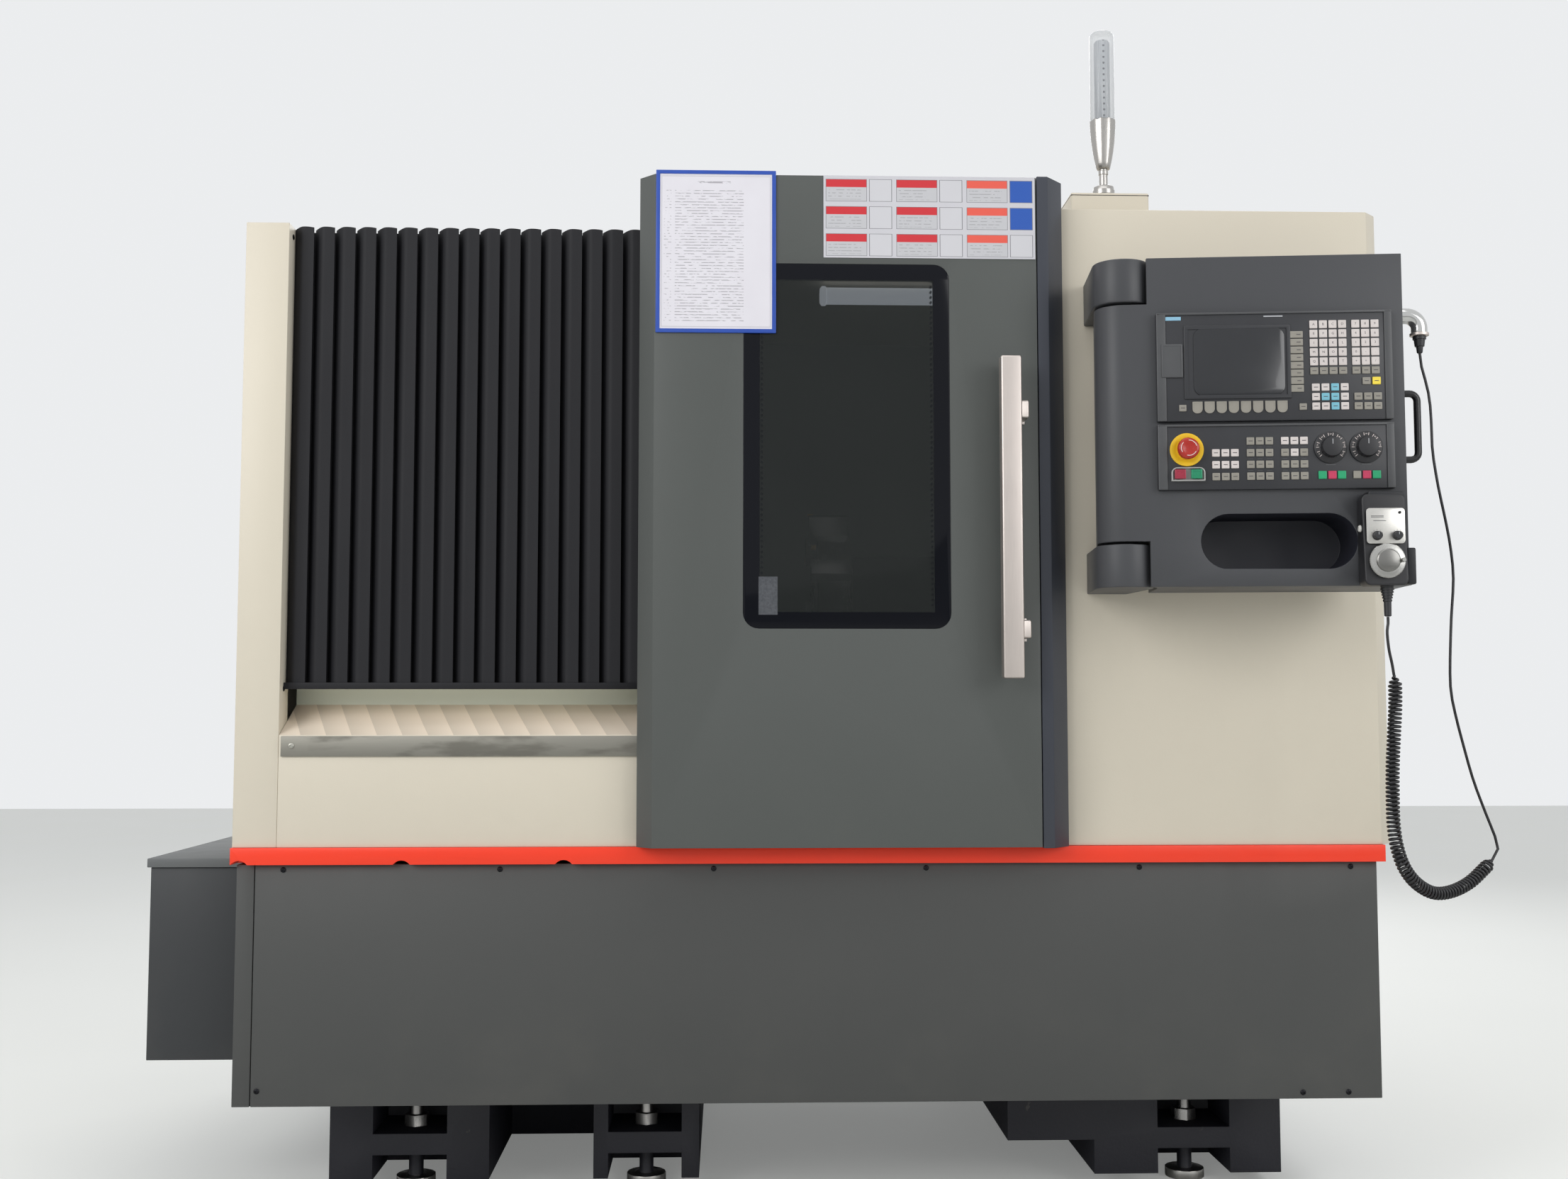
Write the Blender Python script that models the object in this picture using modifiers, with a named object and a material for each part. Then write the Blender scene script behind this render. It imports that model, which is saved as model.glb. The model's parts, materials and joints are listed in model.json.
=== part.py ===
"""CNC turning lathe: slant bed, sliding door, swing-out control box and hand pendant.

The machine frame has x from the middle of the front skirt to the right, y from the cabinet's
front face into the machine and z up from the floor. An empty moves that frame so that the
world origin lies under the middle of the whole machine. All lengths are in metres.
"""
import math

import bmesh
import bpy
from mathutils import Matrix, Vector

# Gap between neighbours, weld distance, overrun of a cutter past a face, depth a joined shape is sunk
GAP = 0.0003
WELD = 0.00001
PAST = 0.010
SINK = 0.002

# Skirt, belt and covers
SKIRT_LEFT = -1.087
SKIRT_RIGHT = 1.086
SKIRT_BOTTOM = 0.229
SKIRT_TOP = 0.677
SKIRT_SETBACK = 0.010
SKIRT_SHEET = 0.025
SKIRT_FLANGE = 0.033
SKIRT_SEAM = 0.0015
BELT_HEIGHT = 0.032
BELT_OVERHANG = 0.004
BELT_RETURN = 0.060
BELT_LEFT = -1.096
BELT_RIGHT = 1.0985
NOTCH_RADIUS = 0.020
NOTCH_HEIGHT = 0.008
NOTCHES = (-1.080, -0.777, -0.473)
COVER_LEFT = -1.094
COVER_RIGHT = 1.120
COVER_BACK = 1.450
COVER_SHEET = 0.025
COLUMN_WIDTH = 0.0825
LEFT_TOP = 1.906
RIGHT_TOP = 1.948
RIGHT_SHEET = 0.030
RIGHT_CHAMFER = 0.027
ROOF_TOP = 1.900

# Pleated panel, sill and door guides
SILL_FRONT_TOP = 0.920
SILL_BACK_TOP = 0.977
SILL_DEPTH = 0.120
SILL_LEDGE = 0.025
SILL_SHEET = 0.020
SHELF_TOP = 1.0167
SHELF_SHEET = 0.0087
SHELF_FRONT = 0.026
PLEAT_PITCH = 0.040
PLEAT_COUNT = 18
PLEAT_CREST = 0.028
PLEAT_DEPTH = 0.018
PLEAT_FLANK = 0.002
PLEATS_BACK = 0.060
WEAR_STRIP_BOTTOM = 0.880
WEAR_STRIP_TOP = 0.918
WEAR_STRIP_PROUD = 0.004
TRACK_HEIGHT = 0.050
TRACK_DEPTH = 0.038

# Door
DOOR_LEFT = -0.335
DOOR_RIGHT = 0.426
DOOR_BOTTOM = 0.711
DOOR_TOP = 1.990
DOOR_FRONT = -0.060
DOOR_BACK = -0.008
DOOR_BEVEL = 0.030
WINDOW_LEFT = -0.136
WINDOW_RIGHT = 0.2575
WINDOW_BOTTOM = 1.120
WINDOW_HEAD = 0.172
WINDOW_CORNER = 0.030
GLASS_THICKNESS = 0.008
GLASS_SEAT = 0.020
HANGER_WIDTH = 0.060
HANGER_SHEET = 0.014
HANGERS = (-0.220, 0.360)
GUIDE_HEIGHT = 0.018
HANDLE_LEFT = 0.346
HANDLE_WIDTH = 0.039
HANDLE_BOTTOM = 1.026
HANDLE_TOP = 1.631
HANDLE_FRONT = -0.120
HANDLE_THICKNESS = 0.028
HANDLE_BRACKET_REACH = 0.016
HANDLE_BRACKET_HEIGHT = 0.034
HANDLE_BRACKETS = (1.118, 1.5315)
JAMB_GAP = 0.002
JAMB_FACE = 0.021
JAMB_RIGHT = 0.484
JAMB_TOP = 1.993
JAMB_CHAMFER_BACK = -0.020
FRAME_LEFT = -0.303
FRAME_RIGHT = -0.074
FRAME_BOTTOM = 1.682
FRAME_TOP = 1.997
FRAME_THICKNESS = 0.004
PLATE_LEFT = 0.017
PLATE_RIGHT = 0.424
PLATE_HEIGHT = 0.160
PLATE_THICKNESS = 0.001

# Bed, spindle and carriage
BED_LEFT = -0.961
BED_RIGHT = 0.968
BED_FRONT = 0.250
BED_BACK = 1.300
BED_CREST_BACK = 0.980
BED_CREST = 1.138
BED_BACK_TOP = 0.760
BED_SHOULDER = 0.775
FOOT_BOTTOM = 0.025
FOOT_INNER_LEFT = -0.220
FOOT_INNER_RIGHT = 0.407
ARCH_TOP = 0.400
BRIDGE_RIGHT = 0.584
BRIDGE_BOTTOM = 0.093
FOOT_OPENING = (-0.642, -0.433)
FOOT_OPENING_DEPTH = 0.350
POCKET_DEPTH = 0.150
POCKET_TOP = 0.300
POCKET_WIDTH = 0.148
FLANGE_BOTTOM = 0.075
FLANGE_TOP = 0.117
POCKETS = (-0.801, -0.3295, 0.789)
PAD_RADIUS = 0.040
PAD_HEIGHT = 0.018
BOLT_RADIUS = 0.015
BOLT_TOP = 0.190
NUT_RADIUS = 0.026
NUT_HEIGHT = 0.024
SPINDLE_Y = 0.480
SPINDLE_Z = 1.060
CENTRE_HEIGHT = 0.219
SLANT = math.radians(45)
WAY_WIDTH = 0.060
WAY_HEIGHT = 0.028
WAYS = (-0.145, 0.195)
CHAMBER_LEFT = -0.440
CHAMBER_RIGHT = 0.770
CHAMBER_SHEET = 0.010
CHAMBER_BACK = 0.900
NOSE_OPENING = 0.115
PAN_BOTTOM = 0.560
PAN_SHEET = 0.006
HEADSTOCK_LEFT = -0.900
HEADSTOCK_HALF = 0.230
HEADSTOCK_WAIST = 0.120
HEADSTOCK_CROWN = 0.150
SPINDLE_RADIUS = 0.070
SPINDLE_BORE = 0.028
SPINDLE_LEFT = -0.980
COLLAR_RADIUS = 0.100
COLLAR_WIDTH = 0.045
FLANGE_RADIUS = 0.075
CHUCK_RADIUS = 0.1075
CHUCK_LEFT = -0.420
CHUCK_FACE = -0.335
JAW_WIDTH = 0.036
JAW_INNER = 0.030
JAW_OUTER = 0.095
JAW_HEIGHT = 0.050
JAW_STEP = 0.025
SADDLE_LEFT = 0.120
SADDLE_LENGTH = 0.300
SADDLE_FRONT = -0.200
SADDLE_BACK = 0.320
SADDLE_SHEET = 0.042
CROSS_WAY_WIDTH = 0.050
CROSS_WAY_HEIGHT = 0.020
CROSS_WAYS = (0.175, 0.365)
SLIDE_LEFT = 0.140
SLIDE_LENGTH = 0.260
SLIDE_FRONT = 0.100
SLIDE_BACK = 0.345
SLIDE_SHEET = 0.040
TURRET_TRAVEL_HOME = 0.250
TURRET_BODY_RADIUS = 0.085
TURRET_RADIUS = 0.140
TURRET_LEFT = 0.040
TURRET_THICKNESS = 0.075
TURRET_SIDES = 12
HOLDER_COUNT = 6
HOLDER_WIDTH = 0.034
HOLDER_REACH = 0.180
HOLDER_OVERHANG = 0.020
TAIL_LEFT = 0.590
TAIL_LENGTH = 0.160
TAIL_BACK = 0.240
TAIL_BASE = 0.052
TAIL_WEB = 0.110
TAIL_BARREL_RADIUS = 0.062
QUILL_RADIUS = 0.040
QUILL_STICKOUT = 0.045
CENTRE_POINT_RADIUS = 0.020
CENTRE_POINT_LENGTH = 0.035

# Electrical cabinet and the boxes outside
CABINET_LEFT = 0.780
CABINET_SHEET = 0.020
RACK_SHEET = 0.010
DRIVE_WIDTH = 0.050
DRIVE_HEIGHT = 0.350
DRIVE_DEPTH = 0.220
DRIVE_COUNT = 5
DRIVE_PITCH = 0.054
DRIVE_BOTTOM = 1.350
HINGE_RADIUS = 0.008
HINGE_LENGTH = 0.030
REAR_HINGES = (0.900, 1.700)
REAR_HANDLE_BOTTOM = 1.280
REAR_HANDLE_HEIGHT = 0.120
REAR_HANDLE_WIDTH = 0.025
REAR_HANDLE_PROUD = 0.020
SIDE_BOX_LEFT = -1.312
SIDE_BOX_FRONT = 0.200
SIDE_BOX_DEPTH = 0.550
SIDE_BOX_BOTTOM = 0.276
SIDE_BOX_TOP = 0.654
LID_HEIGHT = 0.018
LID_OVERHANG = 0.006
LAMP_BOX_LEFT = 0.540
LAMP_BOX_WIDTH = 0.161
LAMP_BOX_FRONT = 0.150
LAMP_BOX_TOP = 2.030
LAMP_X = 0.619
LAMP_Y = 0.200
LAMP_FITTING_RADIUS = 0.023
LAMP_FITTING_HEIGHT = 0.027
LAMP_NECK_RADIUS = 0.010
LAMP_NECK_HEIGHT = 0.038
LAMP_CONE_HEIGHT = 0.103
LAMP_LENS_RADIUS = 0.026
LAMP_LENS_HEIGHT = 0.190

# Control box, in a frame on its hinge axis with x along its front and y to its back
HINGE_X = 0.566
HINGE_Y = -0.148
SWING = math.radians(6)
BOX_LEFT = 0.041
BOX_RIGHT = 0.498
BOX_FRONT = -0.049
BOX_BACK = 0.113
BOX_BOTTOM = 1.190
BOX_HEIGHT = 0.605
LOWER_CAP_SPACE = 0.083
UPPER_CAP_SPACE = 0.086
CAP_GAP = 0.005
CAP_RADIUS = 0.052
CAP_CLEARANCE = 0.0055
CAP_ARM_LEFT = -0.037
CAP_ARM_RIGHT = 0.040
ARM_CLEARANCE = 0.060
PIN_RADIUS = 0.012
PIN_LENGTH = 0.030
PIN_END_ROOM = 0.002
PIN_BOSS_RADIUS = 0.020
TRAY_LEFT = 0.1315
TRAY_RIGHT = 0.409
TRAY_HEIGHT = 0.100
TRAY_DROP = 0.043
TRAY_DEPTH = 0.119
UNIT_LEFT = 0.055
UNIT_RIGHT = 0.475
UNIT_PROUD = 0.0105
UNIT_DROP = 0.1055
SCREEN_HEIGHT = 0.200
UNIT_SEAM = 0.0053
KEYS_HEIGHT = 0.1197
BEZEL_LEFT = 0.049
BEZEL_TOP = 0.024
BEZEL_WIDTH = 0.191
BEZEL_HEIGHT = 0.136
DISPLAY_INSET = 0.014
KEY = 0.014
KEY_PITCH = 0.017
KEY_HEIGHT = 0.002
LETTERS_LEFT = 0.281
DIGITS_LEFT = 0.3554
LETTERS_DROP = 0.0226
PAIR_LEFT = 0.3728
PAIR_DROP = 0.1270
CURSOR_LEFT = 0.283
CURSOR_DROP = 0.1383
EDIT_LEFT = 0.3578
EDIT_DROP = 0.1563
SIDE_SOFT_LEFT = 0.2530
SIDE_SOFT_DROP = 0.0416
SIDE_SOFT_WIDTH = 0.018
SIDE_SOFT_HEIGHT = 0.0115
SIDE_SOFT_PITCH = 0.0141
LOWER_SOFT_LEFT = 0.0720
LOWER_SOFT_DROP = 0.1735
LOWER_SOFT_WIDTH = 0.0178
LOWER_SOFT_HEIGHT = 0.0160
LOWER_SOFT_PITCH = 0.0216
END_KEYS_LEFT = 0.0458
END_KEYS_RIGHT = 0.2625
END_KEYS_DROP = 0.1746
PORT_COVER_LEFT = 0.0086
PORT_COVER_WIDTH = 0.0384
PORT_COVER_DROP = 0.058
PORT_COVER_HEIGHT = 0.0617
DISPLAY_DEPTH = 0.001
PROGRAM_LEFT = 0.0997
PROGRAM_DROP = 0.0517
PROGRAM_PITCH = 0.0216
MODE_LEFT = 0.1615
AXIS_LEFT = 0.2227
MODE_DROP = 0.0307
MODE_PITCH = 0.0213
SPINDLE_KEYS_LEFT = 0.2896
FEED_KEYS_LEFT = 0.3524
COLOUR_KEYS_DROP = 0.0948
BUTTON_DROP = 0.0916
RED_BUTTON_LEFT = 0.0385
GREEN_BUTTON_LEFT = 0.0675
STOP_LEFT = 0.0500
STOP_DROP = 0.0440
DIAL_DROP = 0.0450
SPEED_DIAL_LEFT = 0.3065
FEED_DIAL_LEFT = 0.3693
BUTTON_HOUSING_WIDTH = 0.060
BUTTON_HOUSING_HEIGHT = 0.025
BUTTON_HOUSING_PROUD = 0.008
BUTTON_WIDTH = 0.020
BUTTON_TALL = 0.017
BUTTON_CLEARANCE = 0.0005
STOP_DISC_RADIUS = 0.030
STOP_DISC_HEIGHT = 0.003
STOP_RADIUS = 0.0195
STOP_HEIGHT = 0.026
STOP_TRAVEL = 0.005
STOP_STEM_RADIUS = 0.009
STOP_STEM_SEAT = 0.004
DIAL_SKIRT_RADIUS = 0.029
DIAL_GRIP_RADIUS = 0.017
DIAL_SKIRT_HEIGHT = 0.004
DIAL_GRIP_HEIGHT = 0.018

# Pendant, cable elbow and grab handle on the control box, in the same frame
PENDANT_LEFT = 0.406
PENDANT_RIGHT = 0.4815
PENDANT_HEIGHT = 0.164
PENDANT_DROP = 0.0135
PENDANT_FRONT = -0.100
PENDANT_BACK = -0.0555
HOLDER_LEFT = 0.430
HOLDER_RIGHT = 0.4993
HOLDER_HEIGHT = 0.068
RELIEF_X = 0.4495
RELIEF_Y = -0.078
RELIEF_LENGTH = 0.054
RELIEF_TOP_RADIUS = 0.013
RELIEF_TIP_RADIUS = 0.0065
WHEEL_X = 0.4437
WHEEL_RISE = 0.0435
WHEEL_RADIUS = 0.031
WHEEL_HEIGHT = 0.008
HUB_RADIUS = 0.0205
HUB_HEIGHT = 0.007
PEG_RADIUS = 0.004
PEG_HEIGHT = 0.012
PEG_OFFSET = 0.0245
KNOB_RADIUS = 0.0075
KNOB_HEIGHT = 0.012
KNOB_RISE = 0.088
AXIS_KNOB_X = 0.428
STEP_KNOB_X = 0.463
ENABLE_RADIUS = 0.006
ENABLE_PROUD = 0.004
ENABLE_SEAT = 0.003
ENABLE_TRAVEL = 0.002
ENABLE_RISE = 0.103
ELBOW_X = 0.5385
ELBOW_Y = -0.010
ELBOW_DROP = 0.106
ELBOW_RADIUS = 0.017
ELBOW_TURN_DROP = 0.044
ELBOW_CROWN = 0.016
STUB_RADIUS = 0.014
GLAND_RADIUS = 0.0085
GLAND_LENGTH = 0.026
GRAB_REACH = 0.036
GRAB_HEIGHT = 0.122
GRAB_DROP = 0.249
GRAB_RADIUS = 0.0065
GRAB_BEND = 0.014
GRAB_Y = 0.0

# Pendant cord in the machine frame: both ends end at a piece of the control box
CORD_RADIUS = 0.0026
COIL_RADIUS = 0.01225
LEAD_LOWER_ROUTE = ((1.0022, -0.2740, 1.1050), (1.0050, -0.2730, 1.0750), (1.0110, -0.2700, 1.0500))
COIL_ROUTE = (
    (1.0147, -0.26795, 1.0307), (1.0166, -0.2672, 1.0120), (1.0160, -0.2670, 0.9730), (1.0110, -0.2700, 0.9210),
    (1.0070, -0.2710, 0.8690), (1.0050, -0.2725, 0.8170), (1.0055, -0.2720, 0.7680), (1.0120, -0.2690, 0.7270),
    (1.0270, -0.2620, 0.6910), (1.0530, -0.2480, 0.6630), (1.0900, -0.2300, 0.6440), (1.1310, -0.2090, 0.6430),
    (1.1750, -0.1870, 0.6560), (1.2120, -0.1690, 0.6790), (1.2330, -0.1588, 0.6950),
)
LEAD_UPPER_ROUTE = (
    (1.2480, -0.1515, 0.7170), (1.2390, -0.1550, 0.7420),
    (1.2160, -0.1670, 0.7890), (1.1920, -0.1790, 0.8430), (1.1700, -0.1900, 0.9090), (1.1550, -0.1980, 0.9580),
    (1.1460, -0.2020, 1.0000), (1.1450, -0.2030, 1.0440), (1.1510, -0.2000, 1.1300), (1.1590, -0.1960, 1.2070),
    (1.1540, -0.1980, 1.2680), (1.1400, -0.2050, 1.3320), (1.1320, -0.2090, 1.3630), (1.1250, -0.2110, 1.4020),
    (1.1200, -0.2120, 1.4410), (1.1190, -0.2130, 1.4820), (1.1175, -0.2135, 1.5220), (1.1130, -0.2140, 1.5550),
    (1.1060, -0.2142, 1.5820),
)

# Frames and levels that follow from the sizes above
BELT_BOTTOM = SKIRT_TOP + GAP
BELT_TOP = SKIRT_TOP + BELT_HEIGHT
COVER_BOTTOM = BELT_TOP + GAP
COLUMN_RIGHT = COVER_LEFT + COLUMN_WIDTH
PLEATS_LEFT = COLUMN_RIGHT + GAP
PLEATS_RIGHT = PLEATS_LEFT + PLEAT_COUNT * PLEAT_PITCH
SILL_BACK = SILL_DEPTH + SILL_LEDGE
TRACK_FRONT = PLEATS_BACK + GAP
TRACK_BACK = TRACK_FRONT + TRACK_DEPTH
TRACK_TOP = ROOF_TOP
TRACK_BOTTOM = TRACK_TOP - TRACK_HEIGHT
WINDOW_TOP = DOOR_TOP - WINDOW_HEAD
PLATE_BOTTOM = DOOR_TOP - PLATE_HEIGHT
BOX_TOP = BOX_BOTTOM + BOX_HEIGHT
BARREL_BOTTOM = BOX_BOTTOM + LOWER_CAP_SPACE
BARREL_TOP = BOX_TOP - UPPER_CAP_SPACE
SCREEN_TOP = BOX_TOP - UNIT_DROP
SCREEN_BOTTOM = SCREEN_TOP - SCREEN_HEIGHT
KEYS_TOP = SCREEN_BOTTOM - UNIT_SEAM
KEYS_BOTTOM = KEYS_TOP - KEYS_HEIGHT
TRAY_TOP = KEYS_BOTTOM - TRAY_DROP
TRAY_BOTTOM = TRAY_TOP - TRAY_HEIGHT
PENDANT_TOP = KEYS_BOTTOM - PENDANT_DROP
PENDANT_BOTTOM = PENDANT_TOP - PENDANT_HEIGHT
HOLDER_TOP = PENDANT_BOTTOM + HOLDER_HEIGHT
WHEEL_Z = PENDANT_BOTTOM + WHEEL_RISE
KNOB_Z = PENDANT_BOTTOM + KNOB_RISE
ENABLE_Z = PENDANT_BOTTOM + ENABLE_RISE
ELBOW_Z = BOX_TOP - ELBOW_DROP
ELBOW_BOTTOM = ELBOW_Z - ELBOW_TURN_DROP
ELBOW_TOP = ELBOW_Z + ELBOW_CROWN
GRAB_TOP = BOX_TOP - GRAB_DROP
GRAB_BOTTOM = GRAB_TOP - GRAB_HEIGHT
BUTTON_Z = KEYS_TOP - BUTTON_DROP
RED_BUTTON_X = UNIT_LEFT + RED_BUTTON_LEFT
GREEN_BUTTON_X = UNIT_LEFT + GREEN_BUTTON_LEFT
STOP_X = UNIT_LEFT + STOP_LEFT
STOP_Z = KEYS_TOP - STOP_DROP
DIAL_Z = KEYS_TOP - DIAL_DROP
SPEED_DIAL_X = UNIT_LEFT + SPEED_DIAL_LEFT
FEED_DIAL_X = UNIT_LEFT + FEED_DIAL_LEFT
JAMB_LEFT = DOOR_RIGHT + JAMB_GAP
SLANT_Y = SPINDLE_Y + CENTRE_HEIGHT * math.sin(SLANT)
SLANT_Z = SPINDLE_Z - CENTRE_HEIGHT * math.cos(SLANT)
HEADSTOCK_RIGHT = CHAMBER_LEFT - 0.0055
SIDE_BOX_RIGHT = SKIRT_LEFT - GAP
REAR_HINGE_X = COVER_RIGHT + HINGE_RADIUS + 0.0005
REAR_HINGE_Y = COVER_BACK - COVER_SHEET / 2
WHEEL_FACE = PENDANT_FRONT - GAP - WHEEL_HEIGHT - HUB_HEIGHT - PEG_HEIGHT

# The outermost points, which set the world origin
MACHINE_LEFT = SIDE_BOX_LEFT - LID_OVERHANG
MACHINE_RIGHT = REAR_HINGE_X + HINGE_RADIUS
PEG_X = WHEEL_X + PEG_OFFSET
MACHINE_FRONT = HINGE_Y - (PEG_X + PEG_RADIUS) * math.sin(SWING) + WHEEL_FACE * math.cos(SWING)
MACHINE_BACK = COVER_BACK + REAR_HANDLE_PROUD


def clear_scene():
    """Starts from an empty file."""
    for obj in list(bpy.data.objects):
        bpy.data.objects.remove(obj)


def collection(name):
    """A collection in the scene."""
    made = bpy.data.collections.new(name)
    bpy.context.scene.collection.children.link(made)
    return made


clear_scene()
PARTS = collection("turning_lathe")
TOOLS = collection("cutters")


def material(name, colour, roughness, metallic=0.0):
    """A plain Principled material."""
    made = bpy.data.materials.new(name)
    made.use_nodes = True
    shader = made.node_tree.nodes["Principled BSDF"]
    shader.inputs["Base Color"].default_value = (*colour, 1.0)
    shader.inputs["Roughness"].default_value = roughness
    shader.inputs["Metallic"].default_value = metallic
    return made


CREAM = material("cream_paint", (0.68, 0.63, 0.51), 0.35)
DOOR_GREY = material("door_grey_paint", (0.09, 0.097, 0.093), 0.45)
SKIRT_GREY = material("skirt_grey_paint", (0.076, 0.078, 0.076), 0.5)
BOX_GREY = material("control_box_paint", (0.063, 0.066, 0.071), 0.45)
BELT_RED = material("belt_red_paint", (1.0, 0.055, 0.022), 0.35)
CHARCOAL = material("pleat_charcoal", (0.04, 0.04, 0.042), 0.5)
CASTING = material("casting_navy", (0.018, 0.018, 0.026), 0.6)
STAINLESS = material("stainless_steel", (0.38, 0.38, 0.33), 0.3, 1.0)
STEEL = material("ground_steel", (0.45, 0.45, 0.46), 0.25, 1.0)
ALUMINIUM = material("satin_aluminium", (0.62, 0.56, 0.52), 0.35, 1.0)
BLACK = material("black_plastic", (0.012, 0.012, 0.012), 0.4)
GLASS = material("window_glass", (0.01, 0.011, 0.012), 0.05)
BLUE = material("frame_blue", (0.02, 0.09, 0.4), 0.4)
WHITE = material("plate_white", (0.8, 0.8, 0.78), 0.4)
RED = material("button_red", (0.4, 0.02, 0.015), 0.35)
GREEN = material("button_green", (0.01, 0.33, 0.14), 0.35)
LENS = material("lamp_lens", (0.8, 0.82, 0.82), 0.1)
CORD = material("cord_rubber", (0.015, 0.015, 0.016), 0.5)
CABINET_LINER = material("cabinet_liner", (0.55, 0.56, 0.55), 0.4)


def empty(name, location, parent=None, rotation=(0.0, 0.0, 0.0)):
    """An empty that carries a frame."""
    made = bpy.data.objects.new(name, None)
    made.location = location
    made.rotation_euler = rotation
    made.parent = parent
    PARTS.objects.link(made)
    return made


def as_helper(obj):
    """Keeps a cutter or a joined shape out of the model."""
    PARTS.objects.unlink(obj)
    TOOLS.objects.link(obj)
    obj.hide_render = True
    obj.display_type = "WIRE"
    return obj


def add_mesh(name, finish, bm, parent, location=(0.0, 0.0, 0.0), rotation=(0.0, 0.0, 0.0)):
    """An object from a bmesh."""
    mesh = bpy.data.meshes.new(name)
    bm.to_mesh(mesh)
    bm.free()
    mesh.materials.append(finish)
    obj = bpy.data.objects.new(name, mesh)
    obj.location = location
    obj.rotation_euler = rotation
    obj.parent = parent
    PARTS.objects.link(obj)
    return obj


def block(name, finish, parent, x, y, z):
    """A box between pairs of coordinates."""
    bm = bmesh.new()
    bmesh.ops.create_cube(bm, size=1.0)
    sides = Vector((x[1] - x[0], y[1] - y[0], z[1] - z[0]))
    bmesh.ops.scale(bm, vec=sides, verts=bm.verts)
    return add_mesh(name, finish, bm, parent, (sum(x) / 2, sum(y) / 2, sum(z) / 2))


def blocks(name, finish, parent, boxes):
    """Several boxes in one helper mesh."""
    bm = bmesh.new()
    for x, y, z in boxes:
        sides = Matrix.Diagonal((x[1] - x[0], y[1] - y[0], z[1] - z[0], 1.0))
        middle = Matrix.Translation((sum(x) / 2, sum(y) / 2, sum(z) / 2))
        bmesh.ops.create_cube(bm, size=1.0, matrix=middle @ sides)
    return add_mesh(name, finish, bm, parent)


TURN = {"X": (0.0, math.pi / 2, 0.0), "Z": (0.0, 0.0, 0.0), "FRONT": (math.pi / 2, 0.0, 0.0)}


def cylinder(name, finish, parent, axis, centre, radius, length, segments=24, tip_radius=None):
    """A cylinder or cone about X, Z or the line to the front, whose first end is at centre."""
    bm = bmesh.new()
    bmesh.ops.create_cone(
        bm, cap_ends=True, segments=segments, radius1=radius, depth=length,
        radius2=radius if tip_radius is None else tip_radius,
    )
    bmesh.ops.translate(bm, vec=(0.0, 0.0, length / 2), verts=bm.verts)
    obj = add_mesh(name, finish, bm, parent, centre, TURN[axis])
    smooth(obj.data)
    return obj


def smooth(mesh):
    """Round faces shaded smooth, with their edges kept sharp."""
    mesh.shade_smooth()
    mesh.set_sharp_from_angle(angle=math.radians(35))


def turned(name, finish, parent, axis, centre, profile, segments=32):
    """A turned piece from its (radius, height) profile, top to bottom down the outer side."""
    bm = bmesh.new()
    verts = [bm.verts.new((radius, 0.0, height)) for radius, height in profile]
    for first, second in zip(verts, verts[1:]):
        bm.edges.new((first, second))
    if profile[0][0] > 0 or profile[-1][0] > 0:
        bm.edges.new((verts[-1], verts[0]))
    obj = add_mesh(name, finish, bm, parent, centre, TURN[axis])
    screw = obj.modifiers.new("Turn", "SCREW")
    screw.steps = segments
    screw.render_steps = segments
    screw.use_merge_vertices = True
    screw.merge_threshold = WELD
    screw.use_smooth_shade = True
    return obj


def prism(name, finish, parent, axis, outline, span):
    """A flat outline given thickness: (y, z) along X, (x, z) along Y or (x, y) along Z."""
    curve = bpy.data.curves.new(name, "CURVE")
    curve.dimensions = "2D"
    curve.fill_mode = "BOTH"
    curve.extrude = (span[1] - span[0]) / 2
    spline = curve.splines.new("POLY")
    spline.points.add(len(outline) - 1)
    for point, (across, up) in zip(spline.points, outline):
        point.co = (across, up, 0.0, 1.0)
    spline.use_cyclic_u = True
    curve.materials.append(finish)
    obj = bpy.data.objects.new(name, curve)
    middle = sum(span) / 2
    obj.location = {"X": (middle, 0, 0), "Y": (0, middle, 0), "Z": (0, 0, middle)}[axis]
    right = math.pi / 2
    obj.rotation_euler = {"X": (right, 0, right), "Y": (right, 0, 0), "Z": (0, 0, 0)}[axis]
    obj.parent = parent
    PARTS.objects.link(obj)
    return solid(obj)


def solid(curve_object):
    """A curve object turned into a closed mesh object, so that it can be cut."""
    graph = bpy.context.evaluated_depsgraph_get()
    mesh = bpy.data.meshes.new_from_object(curve_object.evaluated_get(graph))
    bm = bmesh.new()
    bm.from_mesh(mesh)
    bmesh.ops.remove_doubles(bm, verts=bm.verts, dist=WELD)
    bmesh.ops.recalc_face_normals(bm, faces=bm.faces)
    bm.to_mesh(mesh)
    bm.free()
    name = curve_object.name
    curve_object.name = name + "_outline"
    made = bpy.data.objects.new(name, mesh)
    made.parent = curve_object.parent
    made.matrix_basis = curve_object.matrix_basis
    PARTS.objects.link(made)
    curve = curve_object.data
    bpy.data.objects.remove(curve_object)
    bpy.data.curves.remove(curve)
    smooth(mesh)
    return made


def tube(name, finish, parent, points, radius, resolution=2):
    """A round bar or cord along points."""
    curve = bpy.data.curves.new(name, "CURVE")
    curve.dimensions = "3D"
    curve.bevel_depth = radius
    curve.bevel_resolution = resolution
    curve.use_fill_caps = True
    spline = curve.splines.new("POLY")
    spline.points.add(len(points) - 1)
    for point, place in zip(spline.points, points):
        point.co = (*place, 1.0)
    curve.materials.append(finish)
    obj = bpy.data.objects.new(name, curve)
    obj.parent = parent
    PARTS.objects.link(obj)
    return obj


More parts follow.
